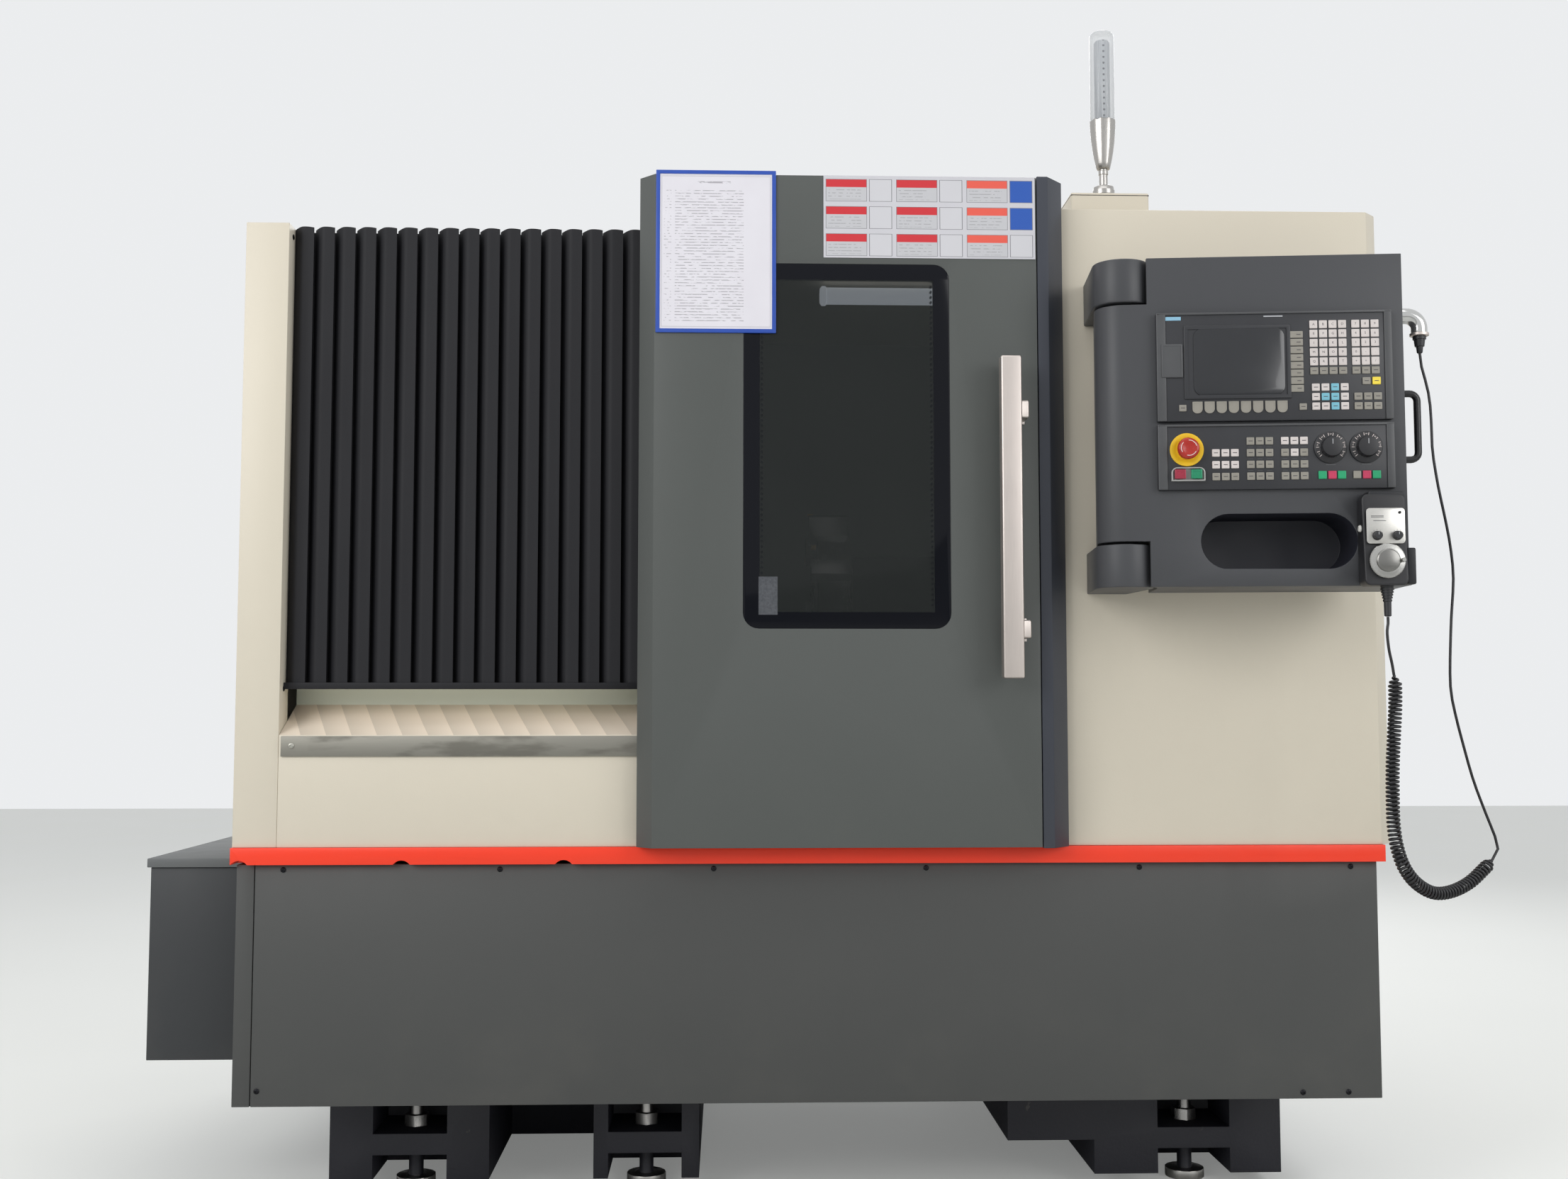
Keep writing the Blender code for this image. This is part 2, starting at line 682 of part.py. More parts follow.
def cut(obj, *cutters):
    """Takes the cutters out of an object."""
    for cutter in cutters:
        modifier = obj.modifiers.new("Cut", "BOOLEAN")
        modifier.operation = "DIFFERENCE"
        modifier.object = as_helper(cutter)
    return obj


def join(obj, *others):
    """Makes the other shapes one body with an object."""
    for other in others:
        modifier = obj.modifiers.new("Join", "BOOLEAN")
        modifier.operation = "UNION"
        modifier.object = as_helper(other)
    return obj


def arc(centre_x, centre_y, radius, start, end, steps):
    """Points of an arc, with its angles in degrees."""
    angles = [math.radians(start + (end - start) * i / steps) for i in range(steps + 1)]
    return [(centre_x + radius * math.cos(a), centre_y + radius * math.sin(a)) for a in angles]


def rounded_rectangle(left, right, bottom, top, radius, steps=6):
    """A rectangle with round corners."""
    points = arc(right - radius, bottom + radius, radius, -90, 0, steps)
    points += arc(right - radius, top - radius, radius, 0, 90, steps)
    points += arc(left + radius, top - radius, radius, 90, 180, steps)
    points += arc(left + radius, bottom + radius, radius, 180, 270, steps)
    return points


def bore_radius(shaft_radius, segments):
    """A faceted bore that a round shaft clears by the usual gap."""
    return (shaft_radius + GAP) / math.cos(math.pi / segments)


def slope_y(z, clearance=0.0):
    """Where the slanted face of the bed lies at a height."""
    return SLANT_Y + (z - SLANT_Z) / math.tan(SLANT) - clearance / math.sin(SLANT)


def slope_z(y):
    """The height of the slanted face of the bed."""
    return SLANT_Z + (y - SLANT_Y) * math.tan(SLANT)


def smooth_route(points, spacing):
    """Points at even steps along a smooth curve through a cord's route points."""
    knots = [Vector(p) for p in points]
    knots = [2 * knots[0] - knots[1]] + knots + [2 * knots[-1] - knots[-2]]
    fine = []
    steps = 24
    for a, b, c, d in zip(knots, knots[1:], knots[2:], knots[3:]):
        for i in range(steps):
            t = i / steps
            fine.append(0.5 * (2 * b + (c - a) * t + (2 * a - 5 * b + 4 * c - d) * t ** 2
                               + (3 * b - a - 3 * c + d) * t ** 3))
    fine.append(knots[-2])
    total = sum((q - p).length for p, q in zip(fine, fine[1:]))
    count = max(2, round(total / spacing))
    route = [fine[0]]
    travelled = 0.0
    for p, q in zip(fine, fine[1:]):
        travelled += (q - p).length
        if travelled >= total * len(route) / count and len(route) < count:
            route.append(q)
    return route + [fine[-1]]


MACHINE = empty(
    "machine_frame", (-(MACHINE_LEFT + MACHINE_RIGHT) / 2, -(MACHINE_FRONT + MACHINE_BACK) / 2, 0.0))
SLOPE = empty("slope_frame", (0.0, SLANT_Y, SLANT_Z), MACHINE, (SLANT, 0.0, 0.0))
SPINDLE_AXIS = empty("spindle_axis", (0.0, SPINDLE_Y, SPINDLE_Z), MACHINE)
DOOR_SLIDE = empty("door_slide_frame", (0.0, 0.0, 0.0), MACHINE)
BOX_HINGE = empty("control_box_hinge", (HINGE_X, HINGE_Y, 0.0), MACHINE, (0.0, 0.0, -SWING))
REAR_DOOR_HINGE = empty("rear_door_hinge", (REAR_HINGE_X, REAR_HINGE_Y, 0.0), MACHINE)


# Bed casting
def slant_bed():
    """The casting with its slanted face, box ways, feet and levelling bolts, low under the cabinet."""
    crest_front = slope_y(BED_CREST)
    outline = [
        (BED_FRONT, FOOT_BOTTOM), (BED_FRONT, slope_z(BED_FRONT)), (crest_front, BED_CREST),
        (BED_CREST_BACK, BED_CREST), (BED_BACK, BED_BACK_TOP), (BED_BACK, FOOT_BOTTOM),
    ]
    bed = prism("slant_bed", CASTING, MACHINE, "X", outline, (BED_LEFT, BED_RIGHT))
    through = (BED_FRONT - PAST, BED_BACK + PAST)
    below = FOOT_BOTTOM - PAST
    opening_back = BED_FRONT + FOOT_OPENING_DEPTH
    openings = [
        ((FOOT_INNER_LEFT, FOOT_INNER_RIGHT), through, (below, ARCH_TOP)),
        ((FOOT_INNER_RIGHT - PAST, BRIDGE_RIGHT), through, (below, BRIDGE_BOTTOM)),
        (FOOT_OPENING, (BED_FRONT - PAST, opening_back), (below, POCKET_TOP)),
        ((BED_SHOULDER, BED_RIGHT + PAST), through, (BELT_TOP, BED_CREST + PAST)),
    ]
    half = POCKET_WIDTH / 2
    faces = ((BED_FRONT - PAST, BED_FRONT + POCKET_DEPTH), (BED_BACK - POCKET_DEPTH, BED_BACK + PAST))
    for x in POCKETS:
        for y in faces:
            openings.append(((x - half, x + half), y, (FLANGE_TOP, POCKET_TOP)))
            openings.append(((x - half, x + half), y, (below, FLANGE_BOTTOM)))
    for number, (x, y, z) in enumerate(openings):
        cut(bed, block(f"bed_opening_{number}", CASTING, MACHINE, x, y, z))
    for x in POCKETS:
        for y in (BED_FRONT + POCKET_DEPTH / 2, BED_BACK - POCKET_DEPTH / 2):
            pad = cylinder("foot_pad", CASTING, MACHINE, "Z", (x, y, 0.0), PAD_RADIUS, PAD_HEIGHT, 16)
            bolt_foot = (x, y, PAD_HEIGHT / 2)
            bolt = cylinder(
                "foot_bolt", CASTING, MACHINE, "Z", bolt_foot, BOLT_RADIUS, BOLT_TOP - bolt_foot[2], 10)
            nut_foot = (x, y, FLANGE_TOP - 0.001)
            nut = cylinder("foot_nut", CASTING, MACHINE, "Z", nut_foot, NUT_RADIUS, NUT_HEIGHT, 6)
            join(bed, bolt, pad, nut)
    ways_left = CHAMBER_LEFT + CHAMBER_SHEET + 0.005
    ways_right = CHAMBER_RIGHT - CHAMBER_SHEET - 0.005
    for way in WAYS:
        across = (way - WAY_WIDTH / 2, way + WAY_WIDTH / 2)
        join(bed, block("box_way", CASTING, SLOPE, (ways_left, ways_right), across, (-0.005, WAY_HEIGHT)))
    return bed


# Skirts and belt
def skirts():
    """The four dark lower panels; the side and rear ones rise behind the belt to carry the covers."""
    front = (SKIRT_SETBACK, SKIRT_SETBACK + SKIRT_SHEET)
    height = (SKIRT_BOTTOM, SKIRT_TOP)
    back = COVER_BACK - 2 * COVER_SHEET + 0.020
    rise = BELT_RETURN + GAP
    plate_left = SKIRT_LEFT + SKIRT_FLANGE + SKIRT_SEAM
    block("front_skirt", SKIRT_GREY, MACHINE, (plate_left, SKIRT_RIGHT), front, height)

    def side_outline(first):
        return [
            (first, SKIRT_BOTTOM), (back - GAP, SKIRT_BOTTOM), (back - GAP, BELT_TOP), (rise, BELT_TOP),
            (rise, SKIRT_TOP), (first, SKIRT_TOP),
        ]
    left = prism(
        "left_skirt", SKIRT_GREY, MACHINE, "X", side_outline(front[0]),
        (SKIRT_LEFT, SKIRT_LEFT + SKIRT_SHEET))
    flange = block(
        "skirt_flange", SKIRT_GREY, MACHINE, (SKIRT_LEFT, SKIRT_LEFT + SKIRT_FLANGE), front, height)
    join(left, flange)
    right_span = (SKIRT_RIGHT - SKIRT_SHEET, SKIRT_RIGHT)
    prism("right_skirt", SKIRT_GREY, MACHINE, "X", side_outline(front[1] + GAP), right_span)
    rear = (back, back + SKIRT_SHEET)
    block("rear_skirt", SKIRT_GREY, MACHINE, (SKIRT_LEFT, SKIRT_RIGHT), rear, (SKIRT_BOTTOM, BELT_TOP))


def red_belt():
    """The bright strip over the skirt, with half-round notches in its lower edge."""
    left, right = BELT_LEFT, BELT_RIGHT
    inner_left, inner_right = left + COVER_SHEET, right - COVER_SHEET
    front, inner = -BELT_OVERHANG, -BELT_OVERHANG + COVER_SHEET
    outline = [
        (left, front), (right, front), (right, BELT_RETURN), (inner_right, BELT_RETURN),
        (inner_right, inner), (inner_left, inner), (inner_left, BELT_RETURN), (left, BELT_RETURN),
    ]
    belt = prism("red_trim", BELT_RED, MACHINE, "Z", outline, (BELT_BOTTOM, BELT_TOP))
    for x in NOTCHES:
        start = (x, 2 * inner, BELT_BOTTOM + NOTCH_HEIGHT - NOTCH_RADIUS)
        cut(
            belt, cylinder("belt_notch", BELT_RED, MACHINE, "FRONT", start, NOTCH_RADIUS,
            2 * (inner - front) + inner, 20))


# Upper covers
def covers():
    """Left end cover, rear panel, roof and the right front panel."""
    side_back = COVER_BACK - COVER_SHEET - GAP
    inner_left = COVER_LEFT + COVER_SHEET
    outline = [
        (COVER_LEFT, 0.0), (COLUMN_RIGHT, 0.0), (COLUMN_RIGHT, PLEATS_BACK), (inner_left, PLEATS_BACK),
        (inner_left, side_back), (COVER_LEFT, side_back),
    ]
    prism("left_end_cover", CREAM, MACHINE, "Z", outline, (COVER_BOTTOM, LEFT_TOP))
    rear = (COVER_BACK - COVER_SHEET, COVER_BACK)
    cabinet_left = CABINET_LEFT - GAP
    block("rear_panel", CREAM, MACHINE, (COVER_LEFT, cabinet_left), rear, (COVER_BOTTOM, LEFT_TOP))
    roof_left = inner_left + GAP
    roof_step = JAMB_RIGHT
    front_right = RIGHT_SHEET + GAP
    outline = [
        (roof_left, TRACK_BACK + GAP), (roof_step, TRACK_BACK + GAP), (roof_step, front_right),
        (cabinet_left, front_right), (cabinet_left, side_back), (roof_left, side_back),
    ]
    prism("roof_panel", CREAM, MACHINE, "Z", outline, (ROOF_TOP - COVER_SHEET, ROOF_TOP))
    left = JAMB_RIGHT + GAP
    outline = [
        (left, 0.0), (COVER_RIGHT - RIGHT_CHAMFER, 0.0), (COVER_RIGHT, RIGHT_CHAMFER),
        (COVER_RIGHT, RIGHT_SHEET), (left, RIGHT_SHEET),
    ]
    prism("right_front_panel", CREAM, MACHINE, "Z", outline, (COVER_BOTTOM, RIGHT_TOP))


def pleated_panel():
    """The black saw-tooth panel that the door slides in front of."""
    outline = [(PLEATS_RIGHT, PLEATS_BACK), (PLEATS_LEFT, PLEATS_BACK)]
    for number in range(PLEAT_COUNT):
        left = PLEATS_LEFT + number * PLEAT_PITCH
        outline.append((left, PLEAT_CREST + PLEAT_DEPTH))
        outline.append((left + PLEAT_PITCH - PLEAT_FLANK, PLEAT_CREST))
    outline.append((PLEATS_RIGHT, PLEAT_CREST + PLEAT_DEPTH))
    prism("pleated_panel", CHARCOAL, MACHINE, "Z", outline, (SHELF_TOP + GAP, LEFT_TOP + 0.001))


def sill():
    """The folded front panel under the door and the pleats, with the shelf that carries the pleats."""
    fall = (SILL_BACK_TOP - SILL_FRONT_TOP) / SILL_DEPTH
    inner_back = SILL_DEPTH + SILL_LEDGE / 5
    inner_top = SILL_BACK_TOP - SILL_SHEET * 1.1
    outline = [
        (0.0, COVER_BOTTOM), (0.0, SILL_FRONT_TOP), (SILL_DEPTH, SILL_BACK_TOP), (SILL_BACK, SILL_BACK_TOP),
        (SILL_BACK, inner_top), (inner_back, inner_top),
        (SILL_SHEET, inner_top - fall * (inner_back - SILL_SHEET)), (SILL_SHEET, COVER_BOTTOM),
    ]
    span = (PLEATS_LEFT, JAMB_LEFT - GAP)
    panel = prism("lower_front_panel", CREAM, MACHINE, "X", outline, span)
    shelf_under = SHELF_TOP - SHELF_SHEET
    shelf = [
        (SILL_DEPTH, SILL_BACK_TOP - SILL_SHEET / 2), (SILL_DEPTH, shelf_under), (SHELF_FRONT, shelf_under),
        (SHELF_FRONT, SHELF_TOP), (SILL_BACK, SHELF_TOP), (SILL_BACK, SILL_BACK_TOP - SILL_SHEET / 2),
    ]
    join(panel, prism("pleat_shelf", CREAM, MACHINE, "X", shelf, (PLEATS_LEFT, PLEATS_RIGHT)))
    strip_left = PLEATS_LEFT + 0.005
    strip_height = (WEAR_STRIP_BOTTOM, WEAR_STRIP_TOP)
    block(
        "door_wear_strip", STAINLESS, MACHINE, (strip_left, span[1]), (-WEAR_STRIP_PROUD, -GAP), strip_height)
    track_left = COVER_LEFT + COVER_SHEET + GAP
    track_depth = (TRACK_FRONT, TRACK_BACK)
    block(
        "door_track", STAINLESS, MACHINE, (track_left, JAMB_RIGHT - GAP), track_depth,
        (TRACK_BOTTOM, TRACK_TOP))


def door_jamb():
    """The fixed post that the door closes against."""
    back = RIGHT_SHEET - GAP
    outline = [
        (JAMB_LEFT, DOOR_FRONT), (JAMB_LEFT + JAMB_FACE, DOOR_FRONT), (JAMB_RIGHT, JAMB_CHAMFER_BACK),
        (JAMB_RIGHT, back), (JAMB_LEFT, back),
    ]
    prism("door_jamb", DOOR_GREY, MACHINE, "Z", outline, (COVER_BOTTOM, JAMB_TOP))


# Sliding door
def door():
    """Door panel with its window, hangers and guides, and the pieces fixed to its front."""
    outline = [
        (DOOR_LEFT, DOOR_BACK), (DOOR_LEFT, DOOR_FRONT + DOOR_BEVEL), (DOOR_LEFT + DOOR_BEVEL, DOOR_FRONT),
        (DOOR_RIGHT, DOOR_FRONT), (DOOR_RIGHT, DOOR_BACK),
    ]
    panel = prism("door_panel", DOOR_GREY, DOOR_SLIDE, "Z", outline, (DOOR_BOTTOM, DOOR_TOP))
    seat = GLASS_SEAT
    hole = rounded_rectangle(
        WINDOW_LEFT + seat, WINDOW_RIGHT - seat, WINDOW_BOTTOM + seat, WINDOW_TOP - seat, WINDOW_CORNER / 2,
        3)
    rebate = rounded_rectangle(WINDOW_LEFT, WINDOW_RIGHT, WINDOW_BOTTOM, WINDOW_TOP, WINDOW_CORNER)
    rebate_depth = (DOOR_FRONT - PAST, DOOR_FRONT + GLASS_THICKNESS)
    cut(
        panel,
        prism("window_hole", DOOR_GREY, DOOR_SLIDE, "Y", hole, (DOOR_FRONT - PAST, DOOR_BACK + PAST)),
        prism("window_rebate", DOOR_GREY, DOOR_SLIDE, "Y", rebate, rebate_depth),
    )
    arm_bottom = LEFT_TOP + 0.005
    arm_top = arm_bottom + HANGER_SHEET
    roller_front = TRACK_FRONT + 0.006
    roller_back = TRACK_BACK - 0.006
    arm = [
        (DOOR_BACK - SINK, arm_bottom), (roller_front, arm_bottom), (roller_front, TRACK_TOP + GAP),
        (roller_back, TRACK_TOP + GAP), (roller_back, arm_top), (DOOR_BACK - SINK, arm_top),
    ]
    strip_middle = (WEAR_STRIP_BOTTOM + WEAR_STRIP_TOP) / 2
    guide_height = (strip_middle - GUIDE_HEIGHT / 2, strip_middle + GUIDE_HEIGHT / 2)
    guide_depth = (DOOR_BACK - SINK, -WEAR_STRIP_PROUD - GAP)
    for x in HANGERS:
        across = (x - HANGER_WIDTH / 2, x + HANGER_WIDTH / 2)
        join(
            panel,
            prism("door_hanger", DOOR_GREY, DOOR_SLIDE, "X", arm, across),
            block("door_guide", BLACK, DOOR_SLIDE, across, guide_depth, guide_height),
        )
    pane = rounded_rectangle(
        WINDOW_LEFT + GAP, WINDOW_RIGHT - GAP, WINDOW_BOTTOM + GAP, WINDOW_TOP - GAP, WINDOW_CORNER - GAP)
    prism("window_glass", GLASS, DOOR_SLIDE, "Y", pane, (DOOR_FRONT, DOOR_FRONT + GLASS_THICKNESS - GAP))
    face = DOOR_FRONT - GAP
    bar = block(
        "door_handle", ALUMINIUM, DOOR_SLIDE, (HANDLE_LEFT, HANDLE_LEFT + HANDLE_WIDTH),
        (HANDLE_FRONT, HANDLE_FRONT + HANDLE_THICKNESS), (HANDLE_BOTTOM, HANDLE_TOP))
    reach = (HANDLE_LEFT + HANDLE_WIDTH / 2, HANDLE_LEFT + HANDLE_WIDTH + HANDLE_BRACKET_REACH)
    for z in HANDLE_BRACKETS:
        height = (z - HANDLE_BRACKET_HEIGHT / 2, z + HANDLE_BRACKET_HEIGHT / 2)
        join(
            bar, block("handle_bracket", ALUMINIUM, DOOR_SLIDE, reach,
            (HANDLE_FRONT + HANDLE_THICKNESS / 2, face), height))
    block(
        "document_frame", BLUE, DOOR_SLIDE, (FRAME_LEFT, FRAME_RIGHT), (face - FRAME_THICKNESS, face),
        (FRAME_BOTTOM, FRAME_TOP))
    block(
        "instruction_plate", WHITE, DOOR_SLIDE, (PLATE_LEFT, PLATE_RIGHT), (face - PLATE_THICKNESS, face),
        (PLATE_BOTTOM, DOOR_TOP))


# Machining chamber
def chamber():
    """Sheet walls at both ends and the back of the machining area, and the pan that catches chips."""
    clearance = 0.0004
    wall_top = ROOF_TOP - COVER_SHEET - GAP
    front = SILL_BACK + GAP
    upper_front = PLEATS_BACK + GAP
    end_wall = [
        (front, PAN_BOTTOM), (slope_y(PAN_BOTTOM, clearance), PAN_BOTTOM),
        (slope_y(BED_CREST + GAP, clearance), BED_CREST + GAP), (CHAMBER_BACK, BED_CREST + GAP),
        (CHAMBER_BACK, wall_top), (TRACK_BACK + GAP, wall_top), (TRACK_BACK + GAP, TRACK_BOTTOM - GAP),
        (upper_front, TRACK_BOTTOM - GAP), (upper_front, SHELF_TOP + GAP), (front, SHELF_TOP + GAP),
    ]
    liner = prism(
        "chamber_liner", CABINET_LINER, MACHINE, "X", end_wall, (CHAMBER_LEFT, CHAMBER_LEFT + CHAMBER_SHEET))
    nose_start = (CHAMBER_LEFT - PAST, 0.0, 0.0)
    nose = cylinder(
        "nose_opening", STEEL, SPINDLE_AXIS, "X", nose_start, NOSE_OPENING, CHAMBER_SHEET + 2 * PAST, 32)
    cut(liner, nose)
    rear_depth = (CHAMBER_BACK - GAP, CHAMBER_BACK + CHAMBER_SHEET)
    rear_wall = block(
        "rear_wall", CABINET_LINER, MACHINE, (CHAMBER_LEFT, CHAMBER_RIGHT), rear_depth,
        (BED_CREST + GAP, wall_top))
    right_span = (CHAMBER_RIGHT - CHAMBER_SHEET, CHAMBER_RIGHT)
    join(liner, rear_wall, prism("right_wall", CABINET_LINER, MACHINE, "X", end_wall, right_span))
    pan_back = slope_y(PAN_BOTTOM, 2 * clearance)
    pan = [
        (front, PAN_BOTTOM), (pan_back, PAN_BOTTOM),
        (slope_y(PAN_BOTTOM + PAN_SHEET, 2 * clearance), PAN_BOTTOM + PAN_SHEET),
        (front + PAN_SHEET, PAN_BOTTOM + PAN_SHEET), (front + PAN_SHEET, SILL_BACK_TOP),
        (front, SILL_BACK_TOP),
    ]
    inside = (CHAMBER_LEFT + CHAMBER_SHEET + GAP, CHAMBER_RIGHT - CHAMBER_SHEET - GAP)
    prism("chip_pan", CABINET_LINER, MACHINE, "X", pan, inside)


# Headstock and spindle
def headstock():
    """The casting on the slope that holds the spindle."""
    foot = GAP
    half, crown = HEADSTOCK_HALF, CENTRE_HEIGHT + HEADSTOCK_CROWN
    outline = [
        (-half, foot), (half, foot), (half, HEADSTOCK_WAIST), (HEADSTOCK_CROWN, crown),
        (-HEADSTOCK_CROWN, crown),
        (-half, HEADSTOCK_WAIST),
    ]
    casting = prism("headstock", CASTING, SLOPE, "X", outline, (HEADSTOCK_LEFT, HEADSTOCK_RIGHT))
    segments = 40
    length = HEADSTOCK_RIGHT - HEADSTOCK_LEFT + 2 * PAST
    start = (HEADSTOCK_LEFT - PAST, 0.0, CENTRE_HEIGHT)
    cut(
        casting, cylinder("spindle_bore", STEEL, SLOPE, "X", start, bore_radius(SPINDLE_RADIUS, segments),
        length, segments))


def spindle():
    """Spindle, chuck body and the through hole for bar stock."""
    flange_left = HEADSTOCK_RIGHT + GAP
    collar_right = SPINDLE_LEFT + COLLAR_WIDTH
    profile = [
        (SPINDLE_BORE, CHUCK_FACE), (CHUCK_RADIUS, CHUCK_FACE), (CHUCK_RADIUS, CHUCK_LEFT),
        (FLANGE_RADIUS, CHUCK_LEFT), (FLANGE_RADIUS, flange_left), (SPINDLE_RADIUS, flange_left),
        (SPINDLE_RADIUS, collar_right), (COLLAR_RADIUS, collar_right), (COLLAR_RADIUS, SPINDLE_LEFT),
        (SPINDLE_BORE, SPINDLE_LEFT),
    ]
    turned("spindle_and_chuck", STEEL, SPINDLE_AXIS, "X", (0.0, 0.0, 0.0), profile, 40)


def chuck_jaws():
    """Three stepped jaws in front of the chuck's face."""
    root = CHUCK_FACE + GAP
    tip = root + JAW_HEIGHT
    step_radius = JAW_INNER + JAW_STEP
    outline = [
        (root, JAW_INNER), (tip, JAW_INNER), (tip, step_radius), (tip - JAW_HEIGHT * 0.4, step_radius),
        (tip - JAW_HEIGHT * 0.4, JAW_OUTER), (root, JAW_OUTER),
    ]
    for number in range(3):
        turn = empty(
            f"jaw_frame_{number + 1}", (0.0, 0.0, 0.0), SPINDLE_AXIS, (math.radians(120 * number), 0.0, 0.0))
        prism(f"chuck_jaw_{number + 1}", STEEL, turn, "Y", outline, (-JAW_WIDTH / 2, JAW_WIDTH / 2))


# Carriage, turret and tailstock
def carriage():
    """Saddle on the box ways, cross slide with the turret housing, and the turret disc."""
    saddle_foot = WAY_HEIGHT + GAP
    saddle_top = saddle_foot + SADDLE_SHEET
    depth = (SADDLE_FRONT, SADDLE_BACK)
    saddle = block(
        "saddle", CASTING, SLOPE, (SADDLE_LEFT, SADDLE_LEFT + SADDLE_LENGTH), depth,
        (saddle_foot, saddle_top))
    way_top = saddle_top + CROSS_WAY_HEIGHT
    for x in CROSS_WAYS:
        across = (x - CROSS_WAY_WIDTH / 2, x + CROSS_WAY_WIDTH / 2)
        join(saddle, block("cross_way", STEEL, SLOPE, across, depth, (saddle_top - SINK, way_top)))
    plate_foot = way_top + GAP
    plate_top = plate_foot + SLIDE_SHEET
    slide_right = SLIDE_LEFT + SLIDE_LENGTH
    plate = block(
        "cross_slide", CASTING, SLOPE, (SLIDE_LEFT, slide_right), (SLIDE_FRONT, SLIDE_BACK),
        (plate_foot, plate_top))
    home = TURRET_TRAVEL_HOME
    radius = TURRET_BODY_RADIUS
    turret_right = TURRET_LEFT + TURRET_THICKNESS
    web = block(
        "turret_web", CASTING, SLOPE, (SLIDE_LEFT + 0.040, slide_right - 0.020),
        (home - radius, home + radius),
        (plate_top - SINK, CENTRE_HEIGHT))
    start = (turret_right + GAP, home, CENTRE_HEIGHT)
    barrel = cylinder("turret_barrel", CASTING, SLOPE, "X", start, radius, slide_right - start[0], 32)
    join(plate, web, barrel)
    disc_start = (TURRET_LEFT, home, CENTRE_HEIGHT)
    disc = cylinder(
        "turret_disc", STEEL, SLOPE, "X", disc_start, TURRET_RADIUS, TURRET_THICKNESS, TURRET_SIDES)
    for number in range(HOLDER_COUNT):
        angle = math.radians(360 * (number + 0.5) / HOLDER_COUNT)
        turn = empty("holder_frame", disc_start, SLOPE, (angle, 0.0, 0.0))
        along = (-HOLDER_OVERHANG, TURRET_THICKNESS - 0.005)
        across = (-HOLDER_WIDTH / 2, HOLDER_WIDTH / 2)
        join(disc, block("tool_holder", STEEL, turn, along, across, (TURRET_RADIUS * 0.8, HOLDER_REACH)))


def tailstock():
    """Tailstock on the ways and its quill with a dead centre."""
    foot = WAY_HEIGHT + GAP
    base_top = foot + TAIL_BASE
    right = TAIL_LEFT + TAIL_LENGTH
    body = block("tailstock", CASTING, SLOPE, (TAIL_LEFT, right), (SADDLE_FRONT, TAIL_BACK), (foot, base_top))
    web = block(
        "tail_web", CASTING, SLOPE, (TAIL_LEFT + 0.010, right - 0.010), (-TAIL_WEB / 2, TAIL_WEB / 2),
        (base_top - SINK, CENTRE_HEIGHT))
    barrel = cylinder(
        "tail_barrel", CASTING, SLOPE, "X", (TAIL_LEFT, 0.0, CENTRE_HEIGHT), TAIL_BARREL_RADIUS,
        TAIL_LENGTH, 32)
    segments = 32
    bore_start = (TAIL_LEFT - PAST, 0.0, CENTRE_HEIGHT)
    join(body, web, barrel)
    cut(body, cylinder(
        "quill_bore", STEEL, SLOPE, "X", bore_start, bore_radius(QUILL_RADIUS, segments),
        TAIL_LENGTH + 2 * PAST, segments))
    shoulder = TAIL_LEFT - QUILL_STICKOUT + CENTRE_POINT_LENGTH
    profile = [
        (0.0, right - 0.005), (QUILL_RADIUS, right - 0.005), (QUILL_RADIUS, shoulder),
        (CENTRE_POINT_RADIUS, shoulder), (0.0, shoulder - CENTRE_POINT_LENGTH),
    ]
    turned("tailstock_quill", STEEL, SPINDLE_AXIS, "X", (0.0, 0.0, 0.0), profile, segments)


# Electrical cabinet
def electrical_cabinet():
    """Cabinet shell open at the back, the rack of drives inside and the hinged rear door."""
    front = RIGHT_SHEET + GAP
    back = COVER_BACK - COVER_SHEET - GAP
    sheet = CABINET_SHEET
    shell = block(
        "electrical_cabinet", CREAM, MACHINE, (CABINET_LEFT, COVER_RIGHT), (front, back),
        (COVER_BOTTOM, RIGHT_TOP))
    inside = (
        (CABINET_LEFT + sheet, COVER_RIGHT - sheet), (front + sheet, back + sheet),
        (COVER_BOTTOM + sheet, RIGHT_TOP - sheet))
    cut(shell, block("cabinet_inside", CREAM, MACHINE, *inside))
    rack_x = (inside[0][0] + GAP, inside[0][1] - GAP)
    rack_z = (inside[2][0] + GAP, inside[2][1] - GAP)
    rack_y = (inside[1][0] + GAP, inside[1][0] + GAP + RACK_SHEET)
    rack = block("drive_rack", STAINLESS, MACHINE, rack_x, rack_y, rack_z)
    first = (rack_x[0] + rack_x[1] - (DRIVE_COUNT - 1) * DRIVE_PITCH - DRIVE_WIDTH) / 2
    drive_y = (rack_y[1] - SINK, rack_y[1] + DRIVE_DEPTH)
    drives = []
    for number in range(DRIVE_COUNT):
        left = first + number * DRIVE_PITCH
        drives.append(((left, left + DRIVE_WIDTH), drive_y, (DRIVE_BOTTOM, DRIVE_BOTTOM + DRIVE_HEIGHT)))
    row_x = (first, first + (DRIVE_COUNT - 1) * DRIVE_PITCH + DRIVE_WIDTH)
    drives.append(
        (row_x, (drive_y[0], rack_y[1] + DRIVE_DEPTH / 3), (DRIVE_BOTTOM - 0.300, DRIVE_BOTTOM - 0.200)))
    join(rack, blocks("drives", STAINLESS, MACHINE, drives))
    rear_door_panel(back)
    for height in REAR_HINGES:
        join(shell, *knuckle("cabinet_knuckle", MACHINE, REAR_HINGE_X, REAR_HINGE_Y, height, back))


